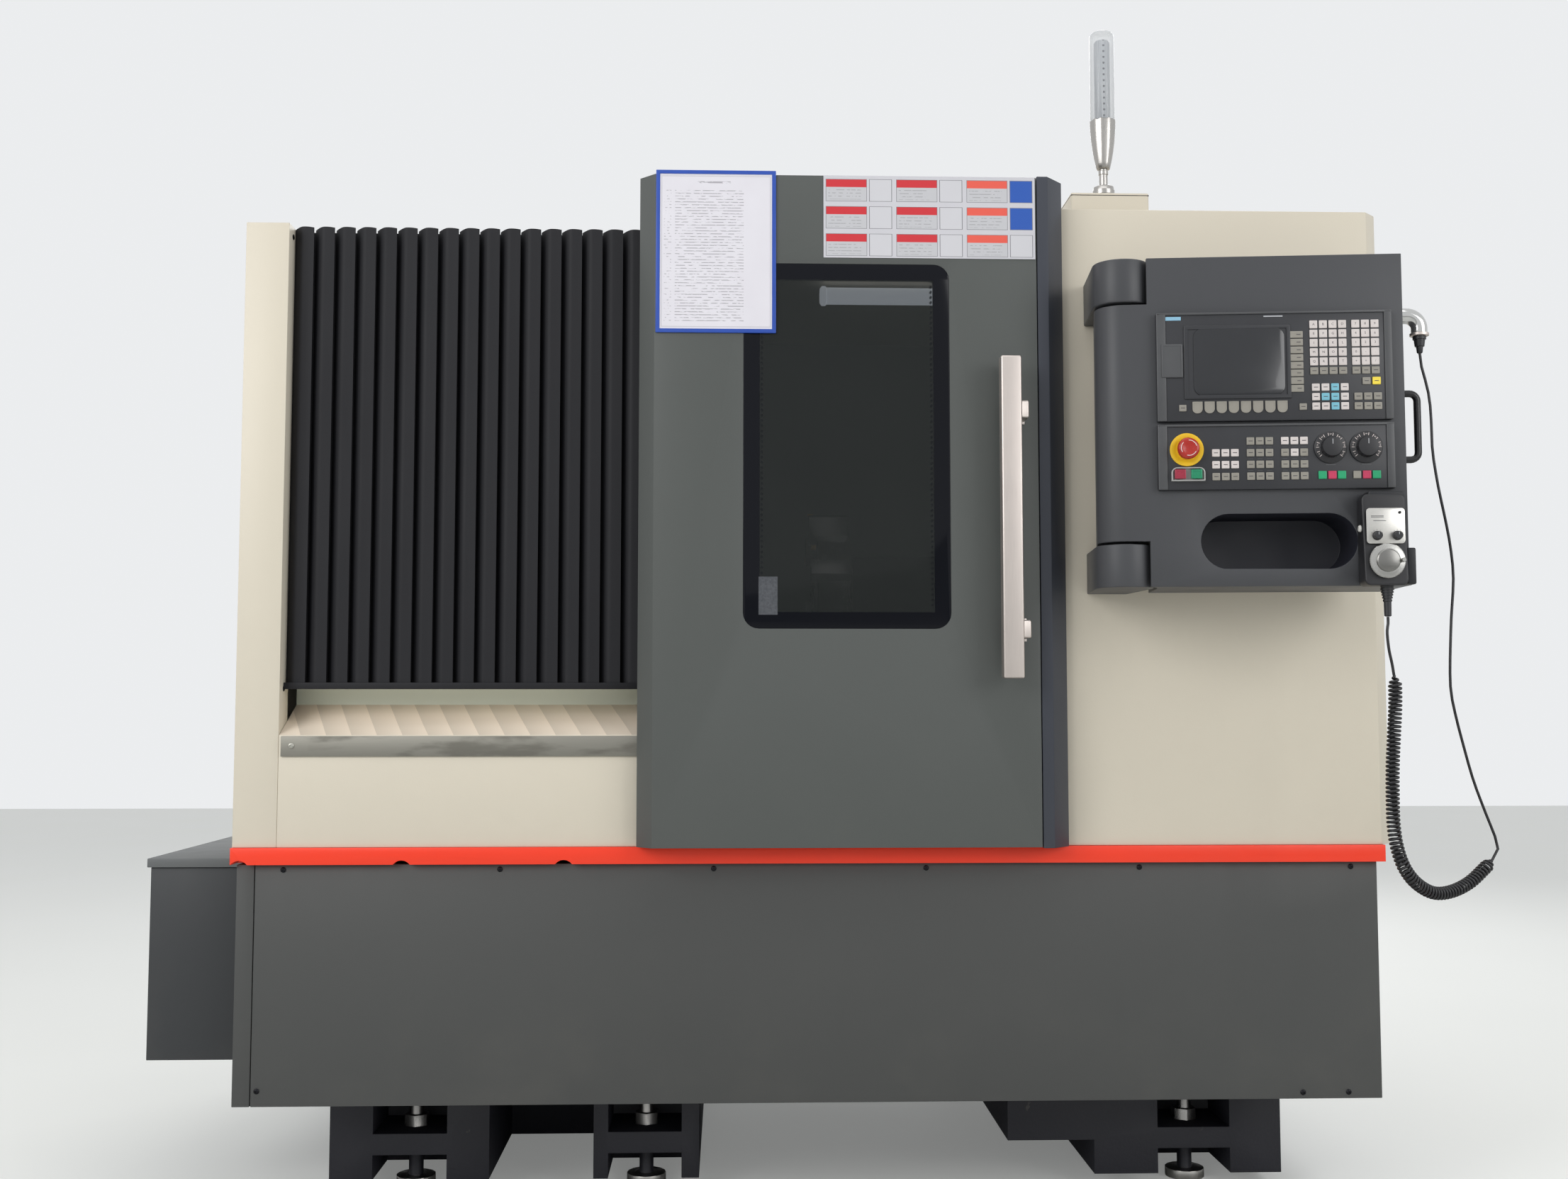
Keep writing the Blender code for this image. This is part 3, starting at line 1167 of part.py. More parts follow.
def knuckle(name, parent, x, y, height, back):
    """A hinge knuckle beside the cabinet's side wall, with the leaf that joins them."""
    tall = (height, height + HINGE_LENGTH)
    bite = 0.004
    reach = (back - 0.030, back - 0.0003)
    return (
        block(name + "_leaf", CREAM, parent, (COVER_RIGHT - bite, x), reach, tall),
        block(name + "_neck", CREAM, parent, (COVER_RIGHT + 0.0005, x), (back - SINK, y), tall),
        cylinder(name, CREAM, parent, "Z", (x, y, height), HINGE_RADIUS, HINGE_LENGTH, 16),
    )


def rear_door_panel(back):
    """The rear door, in a frame on its hinge axis."""
    left = CABINET_LEFT - REAR_HINGE_X
    right = COVER_RIGHT - REAR_HINGE_X
    half = COVER_SHEET / 2
    depth = (-half, half)
    panel = block("rear_door", CREAM, REAR_DOOR_HINGE, (left, right), depth, (COVER_BOTTOM, RIGHT_TOP))
    grip_left = left + 0.020
    grip = block(
        "rear_door_grip", BLACK, REAR_DOOR_HINGE, (grip_left, grip_left + REAR_HANDLE_WIDTH),
        (half - SINK, half + REAR_HANDLE_PROUD),
        (REAR_HANDLE_BOTTOM, REAR_HANDLE_BOTTOM + REAR_HANDLE_HEIGHT))
    join(panel, grip)
    for height in REAR_HINGES:
        foot = height + HINGE_LENGTH + GAP
        tall = (foot, foot + HINGE_LENGTH)
        join(
            panel,
            block("door_leaf", CREAM, REAR_DOOR_HINGE, (right - 0.010, 0.0), (-0.004, 0.004), tall),
            cylinder("door_knuckle", CREAM, REAR_DOOR_HINGE, "Z", (0.0, 0.0, foot), HINGE_RADIUS,
            HINGE_LENGTH, 16),
        )


# Boxes outside and signal lamp
def side_box():
    """The power box on the left skirt and its overhanging lid."""
    depth = (SIDE_BOX_FRONT, SIDE_BOX_FRONT + SIDE_BOX_DEPTH)
    across = (SIDE_BOX_LEFT, SIDE_BOX_RIGHT)
    block("side_box", BOX_GREY, MACHINE, across, depth, (SIDE_BOX_BOTTOM, SIDE_BOX_TOP))
    lid_depth = (depth[0] - LID_OVERHANG, depth[1] + LID_OVERHANG)
    lid_height = (SIDE_BOX_TOP + GAP, SIDE_BOX_TOP + LID_HEIGHT)
    block("side_box_lid", BOX_GREY, MACHINE, (across[0] - LID_OVERHANG, across[1]), lid_depth, lid_height)


def signal_lamp():
    """The box on the roof, the lamp's silver base and its clear lens."""
    depth = (LAMP_BOX_FRONT, LAMP_BOX_FRONT + LAMP_BOX_WIDTH)
    across = (LAMP_BOX_LEFT, LAMP_BOX_LEFT + LAMP_BOX_WIDTH)
    block("lamp_box", CREAM, MACHINE, across, depth, (ROOF_TOP + GAP, LAMP_BOX_TOP))
    place = (LAMP_X, LAMP_Y, LAMP_BOX_TOP + GAP)
    neck_foot = LAMP_FITTING_HEIGHT
    cone_foot = neck_foot + LAMP_NECK_HEIGHT
    cone_top = cone_foot + LAMP_CONE_HEIGHT
    cone_radius = LAMP_LENS_RADIUS + 0.001
    profile = [
        (0.0, cone_top), (cone_radius, cone_top), (LAMP_NECK_RADIUS * 1.2, cone_foot),
        (LAMP_NECK_RADIUS, cone_foot),
        (LAMP_NECK_RADIUS, neck_foot), (LAMP_FITTING_RADIUS, neck_foot), (LAMP_FITTING_RADIUS, 0.0),
        (0.0, 0.0),
    ]
    turned("lamp_base", ALUMINIUM, MACHINE, "Z", place, profile, 24)
    lens_foot = (LAMP_X, LAMP_Y, place[2] + cone_top + GAP)
    dome = arc(0.0, LAMP_LENS_HEIGHT - LAMP_LENS_RADIUS, LAMP_LENS_RADIUS, 90, 0, 6)
    dome[0] = (0.0, LAMP_LENS_HEIGHT)
    profile = dome + [(LAMP_LENS_RADIUS, 0.0), (0.0, 0.0)]
    turned("lamp_lens", LENS, MACHINE, "Z", lens_foot, profile, 24)


# Control box
def hinge_caps():
    """The fixed caps above and below the barrel of the control box, with their pins."""
    outline = arc(HINGE_X, HINGE_Y, CAP_RADIUS, 180, 360, 16)
    outline += [(HINGE_X + CAP_ARM_RIGHT, -GAP), (HINGE_X + CAP_ARM_LEFT, -GAP)]
    lower_top = BARREL_BOTTOM - CAP_GAP
    lower = prism("hinge_cap_bottom", BOX_GREY, MACHINE, "Z", outline, (BOX_BOTTOM, lower_top))
    boss_foot = (HINGE_X, HINGE_Y, lower_top - SINK)
    boss = cylinder("pin_boss", STEEL, MACHINE, "Z", boss_foot, PIN_BOSS_RADIUS, CAP_GAP + SINK - GAP, 20)
    lower_pin = cylinder(
        "lower_pin", STEEL, MACHINE, "Z", boss_foot, PIN_RADIUS, PIN_LENGTH + CAP_GAP + SINK, 20)
    join(lower, boss, lower_pin)
    upper_foot = BARREL_TOP + CAP_GAP
    upper = prism("hinge_cap_top", BOX_GREY, MACHINE, "Z", outline, (upper_foot, BOX_TOP))
    upper_pin_foot = (HINGE_X, HINGE_Y, BARREL_TOP - PIN_LENGTH)
    upper_pin = cylinder(
        "upper_pin", STEEL, MACHINE, "Z", upper_pin_foot, PIN_RADIUS, PIN_LENGTH + CAP_GAP + SINK, 20)
    join(upper, upper_pin)


def control_box():
    """The box that swings about its barrel, with the document tray cut into its front."""
    box = block(
        "control_box", BOX_GREY, BOX_HINGE, (BOX_LEFT, BOX_RIGHT), (BOX_FRONT, BOX_BACK),
        (BOX_BOTTOM, BOX_TOP))
    radius = -BOX_FRONT
    outline = arc(0.0, 0.0, radius, 180, 270, 10)
    outline += [(BOX_LEFT + 0.001, BOX_FRONT), (BOX_LEFT + 0.001, BOX_BACK), (CAP_ARM_LEFT, BOX_BACK)]
    join(box, prism("box_barrel", BOX_GREY, BOX_HINGE, "Z", outline, (BARREL_BOTTOM, BARREL_TOP)))
    clearance = CAP_RADIUS + CAP_CLEARANCE
    for foot, top in ((BOX_BOTTOM - PAST, BARREL_BOTTOM), (BARREL_TOP, BOX_TOP + PAST)):
        cut(
            box,
            cylinder("cap_clearance", BOX_GREY, BOX_HINGE, "Z", (0.0, 0.0, foot), clearance, top - foot, 40),
            block("arm_clearance", BOX_GREY, BOX_HINGE, (0.0, ARM_CLEARANCE), (0.0, BOX_BACK + PAST),
            (foot, top)),
        )
    segments = 24
    bore = bore_radius(PIN_RADIUS, segments)
    depth = PIN_LENGTH + PIN_END_ROOM
    cut(
        box,
        cylinder("lower_pin_bore", STEEL, BOX_HINGE, "Z", (0.0, 0.0, BARREL_BOTTOM - PAST), bore,
        depth + PAST, segments),
        cylinder("upper_pin_bore", STEEL, BOX_HINGE, "Z", (0.0, 0.0, BARREL_TOP - depth), bore,
        depth + PAST, segments),
    )
    tray = rounded_rectangle(TRAY_LEFT, TRAY_RIGHT, TRAY_BOTTOM, TRAY_TOP, (TRAY_TOP - TRAY_BOTTOM) / 2, 8)
    cut(
        box, prism("document_tray", BOX_GREY, BOX_HINGE, "Y", tray[:-1],
        (BOX_FRONT - PAST, BOX_FRONT + TRAY_DEPTH)))


def key_grid(left, top, columns, rows, face, width=KEY, height=KEY, pitch_x=KEY_PITCH, pitch_z=KEY_PITCH):
    """Raised keys of a unit, from the middle of the first one."""
    keys = []
    for row in range(rows):
        for column in range(columns):
            x = left + column * pitch_x
            z = top - row * pitch_z
            keys.append((
                (x - width / 2, x + width / 2), (face - KEY_HEIGHT, face + KEY_HEIGHT),
                (z - height / 2, z + height / 2)))
    return keys


def screen_unit():
    """The operator unit: bezel with the display sunk in it, soft keys and letter keys."""
    face = BOX_FRONT - UNIT_PROUD
    unit = block(
        "screen_unit", BLACK, BOX_HINGE, (UNIT_LEFT, UNIT_RIGHT), (face, BOX_FRONT - GAP),
        (SCREEN_BOTTOM, SCREEN_TOP))
    bezel_left = UNIT_LEFT + BEZEL_LEFT
    bezel_top = SCREEN_TOP - BEZEL_TOP
    inset = DISPLAY_INSET
    display = rounded_rectangle(
        bezel_left + inset, bezel_left + BEZEL_WIDTH - inset, bezel_top - BEZEL_HEIGHT + inset / 2,
        bezel_top - inset / 2, inset, 4)
    cut(
        unit, prism("display_recess", BLACK, BOX_HINGE, "Y", display,
        (face - UNIT_PROUD, face + DISPLAY_DEPTH)))
    keys = key_grid(UNIT_LEFT + LETTERS_LEFT, SCREEN_TOP - LETTERS_DROP, 4, 6, face)
    keys += key_grid(UNIT_LEFT + DIGITS_LEFT, SCREEN_TOP - LETTERS_DROP, 3, 6, face)
    keys += key_grid(UNIT_LEFT + PAIR_LEFT, SCREEN_TOP - PAIR_DROP, 2, 1, face)
    keys += key_grid(UNIT_LEFT + CURSOR_LEFT, SCREEN_TOP - CURSOR_DROP, 4, 3, face)
    keys += key_grid(UNIT_LEFT + EDIT_LEFT, SCREEN_TOP - EDIT_DROP, 3, 2, face)
    keys += key_grid(
        UNIT_LEFT + SIDE_SOFT_LEFT, SCREEN_TOP - SIDE_SOFT_DROP, 1, 8, face,
        SIDE_SOFT_WIDTH, SIDE_SOFT_HEIGHT, KEY_PITCH, SIDE_SOFT_PITCH)
    keys += key_grid(
        UNIT_LEFT + LOWER_SOFT_LEFT, SCREEN_TOP - LOWER_SOFT_DROP, 8, 1, face,
        LOWER_SOFT_WIDTH, LOWER_SOFT_HEIGHT, LOWER_SOFT_PITCH)
    keys += key_grid(UNIT_LEFT + END_KEYS_LEFT, SCREEN_TOP - END_KEYS_DROP, 1, 1, face)
    keys += key_grid(UNIT_LEFT + END_KEYS_RIGHT, SCREEN_TOP - END_KEYS_DROP, 1, 1, face)
    cover_x = (UNIT_LEFT + PORT_COVER_LEFT, UNIT_LEFT + PORT_COVER_LEFT + PORT_COVER_WIDTH)
    cover_top = SCREEN_TOP - PORT_COVER_DROP
    cover = (cover_x, (face - 2 * KEY_HEIGHT, face + KEY_HEIGHT), (cover_top - PORT_COVER_HEIGHT, cover_top))
    join(unit, blocks("screen_keys", WHITE, BOX_HINGE, keys + [cover]))


def key_unit():
    """The machine control unit: key blocks, the button housing and the seats of stop and dials."""
    face = BOX_FRONT - UNIT_PROUD
    unit = block(
        "key_unit", BLACK, BOX_HINGE, (UNIT_LEFT, UNIT_RIGHT), (face, BOX_FRONT - GAP),
        (KEYS_BOTTOM, KEYS_TOP))
    keys = key_grid(UNIT_LEFT + PROGRAM_LEFT, KEYS_TOP - PROGRAM_DROP, 3, 3, face, pitch_z=PROGRAM_PITCH)
    keys += key_grid(UNIT_LEFT + MODE_LEFT, KEYS_TOP - MODE_DROP, 3, 4, face, pitch_z=MODE_PITCH)
    keys += key_grid(UNIT_LEFT + AXIS_LEFT, KEYS_TOP - MODE_DROP, 3, 4, face, pitch_z=MODE_PITCH)
    keys += key_grid(UNIT_LEFT + SPINDLE_KEYS_LEFT, KEYS_TOP - COLOUR_KEYS_DROP, 3, 1, face)
    keys += key_grid(UNIT_LEFT + FEED_KEYS_LEFT, KEYS_TOP - COLOUR_KEYS_DROP, 3, 1, face)
    join(unit, blocks("control_keys", WHITE, BOX_HINGE, keys))
    middle = (RED_BUTTON_X + GREEN_BUTTON_X) / 2
    housing_x = (middle - BUTTON_HOUSING_WIDTH / 2, middle + BUTTON_HOUSING_WIDTH / 2)
    housing_z = (BUTTON_Z - BUTTON_HOUSING_HEIGHT / 2, BUTTON_Z + BUTTON_HOUSING_HEIGHT / 2)
    housing = block(
        "button_housing", WHITE, BOX_HINGE, housing_x, (face - BUTTON_HOUSING_PROUD, face + SINK), housing_z)
    join(unit, housing)
    well = BUTTON_CLEARANCE
    for x in (RED_BUTTON_X, GREEN_BUTTON_X):
        across = (x - BUTTON_WIDTH / 2 - well, x + BUTTON_WIDTH / 2 + well)
        tall = (BUTTON_Z - BUTTON_TALL / 2 - well, BUTTON_Z + BUTTON_TALL / 2 + well)
        cut(
            unit, block("button_well", BLACK, BOX_HINGE, across, (face - BUTTON_HOUSING_PROUD - PAST, face),
            tall))
    disc_start = (STOP_X, face + SINK, STOP_Z)
    disc = cylinder(
        "stop_disc", WHITE, BOX_HINGE, "FRONT", disc_start, STOP_DISC_RADIUS, STOP_DISC_HEIGHT + SINK, 32)
    join(unit, disc)
    segments = 20
    bore = bore_radius(STOP_STEM_RADIUS, segments)
    bore_end = face - STOP_DISC_HEIGHT + STOP_STEM_SEAT + STOP_TRAVEL + 2 * GAP
    length = bore_end - face + STOP_DISC_HEIGHT + 0.010
    cut(
        unit, cylinder("stop_bore", BLACK, BOX_HINGE, "FRONT", (STOP_X, bore_end, STOP_Z), bore, length,
        segments))


def panel_controls():
    """Stop button, red and green buttons and the two override dials, each on its own axis."""
    face = BOX_FRONT - UNIT_PROUD
    stop_foot = face - STOP_DISC_HEIGHT - STOP_TRAVEL - GAP
    height = STOP_HEIGHT - STOP_TRAVEL
    collar = STOP_RADIUS * 0.6
    stem_end = -STOP_TRAVEL - GAP - STOP_STEM_SEAT
    stop_profile = [
        (0.0, height), (STOP_RADIUS * 0.7, height), (STOP_RADIUS, height * 0.75),
        (STOP_RADIUS, height * 0.45),
        (collar, height * 0.3), (collar, 0.0), (STOP_STEM_RADIUS, 0.0), (STOP_STEM_RADIUS, stem_end),
        (0.0, stem_end),
    ]
    turned("emergency_stop", RED, BOX_HINGE, "FRONT", (STOP_X, stop_foot, STOP_Z), stop_profile, 28)
    for name, finish, x in (("red_button", RED, RED_BUTTON_X), ("green_button", GREEN, GREEN_BUTTON_X)):
        across = (x - BUTTON_WIDTH / 2, x + BUTTON_WIDTH / 2)
        tall = (BUTTON_Z - BUTTON_TALL / 2, BUTTON_Z + BUTTON_TALL / 2)
        block(name, finish, BOX_HINGE, across, (face - BUTTON_HOUSING_PROUD - 0.001, face - 0.0033), tall)
    dial_profile = [
        (0.0, DIAL_GRIP_HEIGHT), (DIAL_GRIP_RADIUS * 0.95, DIAL_GRIP_HEIGHT),
        (DIAL_GRIP_RADIUS, DIAL_GRIP_HEIGHT * 0.9),
        (DIAL_GRIP_RADIUS, DIAL_SKIRT_HEIGHT), (DIAL_SKIRT_RADIUS, DIAL_SKIRT_HEIGHT * 0.6),
        (DIAL_SKIRT_RADIUS, 0.0),
        (0.0, 0.0),
    ]
    for name, x in (("speed_dial", SPEED_DIAL_X), ("feed_dial", FEED_DIAL_X)):
        turned(name, BLACK, BOX_HINGE, "FRONT", (x, face - GAP, DIAL_Z), dial_profile, 28)


def pendant():
    """The hand pendant on its holder, with its handwheel, knobs and enable button."""
    across = (PENDANT_LEFT, PENDANT_RIGHT)
    depth = (PENDANT_FRONT, PENDANT_BACK)
    body = block("pendant_body", BLACK, BOX_HINGE, across, depth, (PENDANT_BOTTOM, PENDANT_TOP))
    holder = block(
        "pendant_holder", BLACK, BOX_HINGE, (HOLDER_LEFT, HOLDER_RIGHT),
        (PENDANT_BACK - SINK, BOX_FRONT - GAP),
        (PENDANT_BOTTOM + 0.003, HOLDER_TOP))
    relief_foot = (RELIEF_X, RELIEF_Y, PENDANT_BOTTOM - RELIEF_LENGTH)
    relief = cylinder(
        "strain_relief", BLACK, BOX_HINGE, "Z", relief_foot, RELIEF_TIP_RADIUS, RELIEF_LENGTH + SINK, 16,
        RELIEF_TOP_RADIUS)
    join(body, holder, relief)
    button_depth = (PENDANT_FRONT + PENDANT_BACK) / 2
    segments = 16
    well_start = (PENDANT_LEFT - 0.010, button_depth, ENABLE_Z)
    well_length = 0.010 + ENABLE_SEAT + ENABLE_TRAVEL + GAP
    cut(body, cylinder(
        "enable_well", BLACK, BOX_HINGE, "X", well_start, bore_radius(ENABLE_RADIUS, segments), well_length,
        segments))
    face = PENDANT_FRONT - GAP
    wheel_profile = [
        (0.0, WHEEL_HEIGHT + HUB_HEIGHT), (HUB_RADIUS, WHEEL_HEIGHT + HUB_HEIGHT), (HUB_RADIUS, WHEEL_HEIGHT),
        (WHEEL_RADIUS, WHEEL_HEIGHT), (WHEEL_RADIUS, 0.0), (0.0, 0.0),
    ]
    wheel = turned("pendant_dial", ALUMINIUM, BOX_HINGE, "FRONT", (WHEEL_X, face, WHEEL_Z), wheel_profile, 32)
    peg_start = (PEG_X, face - WHEEL_HEIGHT / 2, WHEEL_Z)
    peg_length = WHEEL_HEIGHT / 2 + HUB_HEIGHT + PEG_HEIGHT
    join(wheel, cylinder("wheel_peg", BLACK, BOX_HINGE, "FRONT", peg_start, PEG_RADIUS, peg_length, 12))
    knob_profile = [
        (0.0, KNOB_HEIGHT), (KNOB_RADIUS * 0.85, KNOB_HEIGHT), (KNOB_RADIUS, 0.0), (0.0, 0.0),
    ]
    for name, x in (("axis_knob", AXIS_KNOB_X), ("step_knob", STEP_KNOB_X)):
        turned(name, BLACK, BOX_HINGE, "FRONT", (x, face, KNOB_Z), knob_profile, 16)
    enable_start = (PENDANT_LEFT - ENABLE_PROUD, button_depth, ENABLE_Z)
    cylinder(
        "enable_button", WHITE, BOX_HINGE, "X", enable_start, ENABLE_RADIUS, ENABLE_PROUD + ENABLE_SEAT,
        segments)


def elbow_and_grab_handle():
    """The cable elbow with its gland and the black grab handle, both on the box's right side."""
    side = BOX_RIGHT + GAP
    elbow = cylinder(
        "cable_elbow", ALUMINIUM, BOX_HINGE, "Z", (ELBOW_X, ELBOW_Y, ELBOW_BOTTOM), ELBOW_RADIUS,
        ELBOW_TOP - ELBOW_BOTTOM, 24)
    stub = cylinder(
        "elbow_stub", ALUMINIUM, BOX_HINGE, "X", (side, ELBOW_Y, ELBOW_Z), STUB_RADIUS, ELBOW_X - side, 20)
    gland_foot = (ELBOW_X, ELBOW_Y, ELBOW_BOTTOM - GLAND_LENGTH)
    gland = cylinder("elbow_gland", BLACK, BOX_HINGE, "Z", gland_foot, GLAND_RADIUS, GLAND_LENGTH + SINK, 16)
    join(elbow, stub, gland)
    bend = GRAB_BEND
    outer = side + GRAB_REACH
    points = [(side, GRAB_Y, GRAB_TOP)]
    points += [(x, GRAB_Y, z) for x, z in arc(outer - bend, GRAB_TOP - bend, bend, 90, 0, 6)]
    points += [(x, GRAB_Y, z) for x, z in arc(outer - bend, GRAB_BOTTOM + bend, bend, 0, -90, 6)]
    points.append((side, GRAB_Y, GRAB_BOTTOM))
    tube("box_handle", BLACK, BOX_HINGE, points, GRAB_RADIUS, 3)


# Pendant cord
def square_end(end, inner):
    """The last two points of a lead that meets the end of the curly part squarely."""
    outward = (end - inner).normalized()
    return tuple(end + outward * 0.010), tuple(end + outward * 4 * GAP)


def pendant_cord():
    """Lead from the pendant's strain relief, curly part, and lead up to the elbow's gland."""
    def from_box(x, y, z):
        turn = Matrix.Rotation(-SWING, 4, "Z")
        return tuple(turn @ Vector((x, y, z)) + Vector((HINGE_X, HINGE_Y, 0.0)))
    relief_tip = from_box(RELIEF_X, RELIEF_Y, PENDANT_BOTTOM - RELIEF_LENGTH - GAP)
    below_relief = from_box(RELIEF_X, RELIEF_Y, PENDANT_BOTTOM - RELIEF_LENGTH - 0.012)
    gland_tip = from_box(ELBOW_X, ELBOW_Y, ELBOW_BOTTOM - GLAND_LENGTH - GAP)
    below_gland = from_box(ELBOW_X, ELBOW_Y, ELBOW_BOTTOM - GLAND_LENGTH - 0.012)
    coil = smooth_route(COIL_ROUTE, 4 * COIL_RADIUS)
    coil_start = square_end(coil[0], coil[1])
    coil_end = square_end(coil[-1], coil[-2])
    spacing = 6 * CORD_RADIUS
    lower = smooth_route((relief_tip, below_relief) + LEAD_LOWER_ROUTE + coil_start, spacing)
    upper = smooth_route(coil_end[::-1] + LEAD_UPPER_ROUTE + (below_gland, gland_tip), spacing)
    tube("lead_lower", CORD, MACHINE, lower, CORD_RADIUS)
    tube("coil_cord", CORD, MACHINE, coil, COIL_RADIUS, 3)
    tube("lead_upper", CORD, MACHINE, upper, CORD_RADIUS)


slant_bed()
skirts()
red_belt()
covers()
pleated_panel()
sill()
door_jamb()
door()
chamber()
headstock()
spindle()
chuck_jaws()
carriage()
tailstock()
electrical_cabinet()
side_box()
signal_lamp()
hinge_caps()
control_box()
screen_unit()
key_unit()
panel_controls()
pendant()
elbow_and_grab_handle()
pendant_cord()
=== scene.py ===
import json
import math

import bmesh
import bpy
from mathutils import Matrix, Vector

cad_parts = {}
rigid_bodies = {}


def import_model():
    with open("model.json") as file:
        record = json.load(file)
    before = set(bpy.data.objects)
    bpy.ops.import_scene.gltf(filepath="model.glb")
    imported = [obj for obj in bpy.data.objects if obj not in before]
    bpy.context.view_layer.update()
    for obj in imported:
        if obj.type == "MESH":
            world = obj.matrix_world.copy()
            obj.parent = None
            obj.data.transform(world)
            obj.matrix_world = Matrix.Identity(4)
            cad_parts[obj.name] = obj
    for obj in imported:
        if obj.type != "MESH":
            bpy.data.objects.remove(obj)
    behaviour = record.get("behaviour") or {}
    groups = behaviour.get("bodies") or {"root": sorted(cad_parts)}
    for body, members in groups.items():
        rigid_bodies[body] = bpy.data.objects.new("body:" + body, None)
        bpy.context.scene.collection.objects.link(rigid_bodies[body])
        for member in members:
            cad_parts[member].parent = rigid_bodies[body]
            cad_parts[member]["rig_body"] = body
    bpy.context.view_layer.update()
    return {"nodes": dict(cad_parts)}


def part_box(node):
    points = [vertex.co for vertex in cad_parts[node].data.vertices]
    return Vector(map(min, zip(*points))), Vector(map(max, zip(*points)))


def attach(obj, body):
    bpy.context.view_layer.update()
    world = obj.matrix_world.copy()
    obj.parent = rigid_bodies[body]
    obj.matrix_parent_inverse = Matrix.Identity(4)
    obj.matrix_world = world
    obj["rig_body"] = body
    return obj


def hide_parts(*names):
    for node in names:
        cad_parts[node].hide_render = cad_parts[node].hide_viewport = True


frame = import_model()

# Camera, 3 m in front of the door at chest height and tilted up a little, so that the lamp's
# top and the levelling feet are both in the frame. The lens is a moderate wide angle.
bpy.ops.object.select_all(action="DESELECT")
bpy.ops.object.camera_add(location=(-0.07055, -3.69302, 0.977),
                          rotation=(math.radians(90 + 4.048), 0.0, math.radians(-1.92)))
camera = bpy.context.object
camera.name = "camera"
camera.data.lens = 37.43
camera.data.sensor_width = 36.0
camera.data.clip_end = 60.0
bpy.context.scene.camera = camera


# Pendant cord: a black 5 mm polyurethane lead that leaves the hand pendant's strain relief, winds
# into a springy coil that sags under its own weight, and climbs to the gland under the steel elbow.
class Wire:
    """One output of a node in a finish. Arithmetic on it adds Math nodes."""

    def __init__(self, finish, socket):
        self.finish = finish
        self.socket = socket

    def calc(self, operation, *values):
        return self.finish.node("ShaderNodeMath", {"operation": operation}, values)

    def __add__(self, other):
        return self.calc("ADD", self, other)

    def __radd__(self, other):
        return self.calc("ADD", other, self)

    def __sub__(self, other):
        return self.calc("SUBTRACT", self, other)

    def __rsub__(self, other):
        return self.calc("SUBTRACT", other, self)

    def __mul__(self, other):
        return self.calc("MULTIPLY", self, other)

    def __rmul__(self, other):
        return self.calc("MULTIPLY", other, self)

    def __mod__(self, other):
        return self.calc("FLOORED_MODULO", self, other)

    def __abs__(self):
        return self.calc("ABSOLUTE", self)

    def rises(self, low, high):
        """0 up to low and 1 from high on, with a soft step between them."""
        return self.finish.node("ShaderNodeMapRange", {"interpolation_type": "SMOOTHSTEP"},
                                {0: self, 1: low, 2: high, 3: 0.0, 4: 1.0})

    def inside(self, low, high, soft=0.0004):
        """1 between low and high and 0 outside, with edges soft metres wide."""
        return self.rises(low - soft, low + soft) * self.rises(high + soft, high - soft)


class Finish:
    """A material: its nodes are made by the one method node, and its shader takes the results."""

    def __init__(self, name, fixed=None):
        self.material = bpy.data.materials.new(name)
        self.material.use_nodes = True
        self.tree = self.material.node_tree
        self.shader = self.tree.nodes["Principled BSDF"]
        self.place = self.node("ShaderNodeTexCoord", {}, {}, "Object")
        self.take(fixed or {})

    def node(self, kind, settings, inputs, output=0):
        made = self.tree.nodes.new(kind)
        for setting, value in settings.items():
            setattr(made, setting, value)
        for name, value in inputs.items() if isinstance(inputs, dict) else enumerate(inputs):
            if isinstance(value, Wire):
                self.tree.links.new(value.socket, made.inputs[name])
            else:
                made.inputs[name].default_value = value
        return Wire(self, made.outputs[output])

    def take(self, values):
        """Sets or links the shader's own sockets."""
        for name, value in values.items():
            if isinstance(value, Wire):
                self.tree.links.new(value.socket, self.shader.inputs[name])
            else:
                self.shader.inputs[name].default_value = value

    def axes(self):
        """The place in metres along x, y and z."""
        return [self.node("ShaderNodeSeparateXYZ", {}, {0: self.place}, axis) for axis in range(3)]

    def spots(self, size, detail=2.0, stretch=(1.0, 1.0, 1.0)):
        """Random soft spots from 0 to 1, size metres across and drawn out by stretch."""
        scale = [1.0 / (size * factor) for factor in stretch]
        place = self.node("ShaderNodeMapping", {}, {"Vector": self.place, "Scale": scale})
        return self.node("ShaderNodeTexNoise", {}, {"Vector": place, "Scale": 1.0, "Detail": detail})

    def mix(self, mask, first, second):
        """The first colour where the mask is 0, the second where it is 1."""
        return self.node("ShaderNodeMix", {"data_type": "RGBA"}, {0: mask, 6: first, 7: second}, 2)

    def bump(self, height, depth, strength=1.0):
        """Raises the surface by depth metres where height is 1."""
        normal = self.node("ShaderNodeBump", {}, {"Height": height, "Distance": depth, "Strength": strength})
        self.take({"Normal": normal})


def tone(red, green, blue, factor=1.0):
    """A colour named by its screen values from 0 to 255, as the shader takes it."""
    shares = [value / 255 for value in (red, green, blue)]
    flat = [s / 12.92 if s <= 0.04045 else ((s + 0.055) / 1.055) ** 2.4 for s in shares]
    return [value * factor for value in flat] + [1.0]


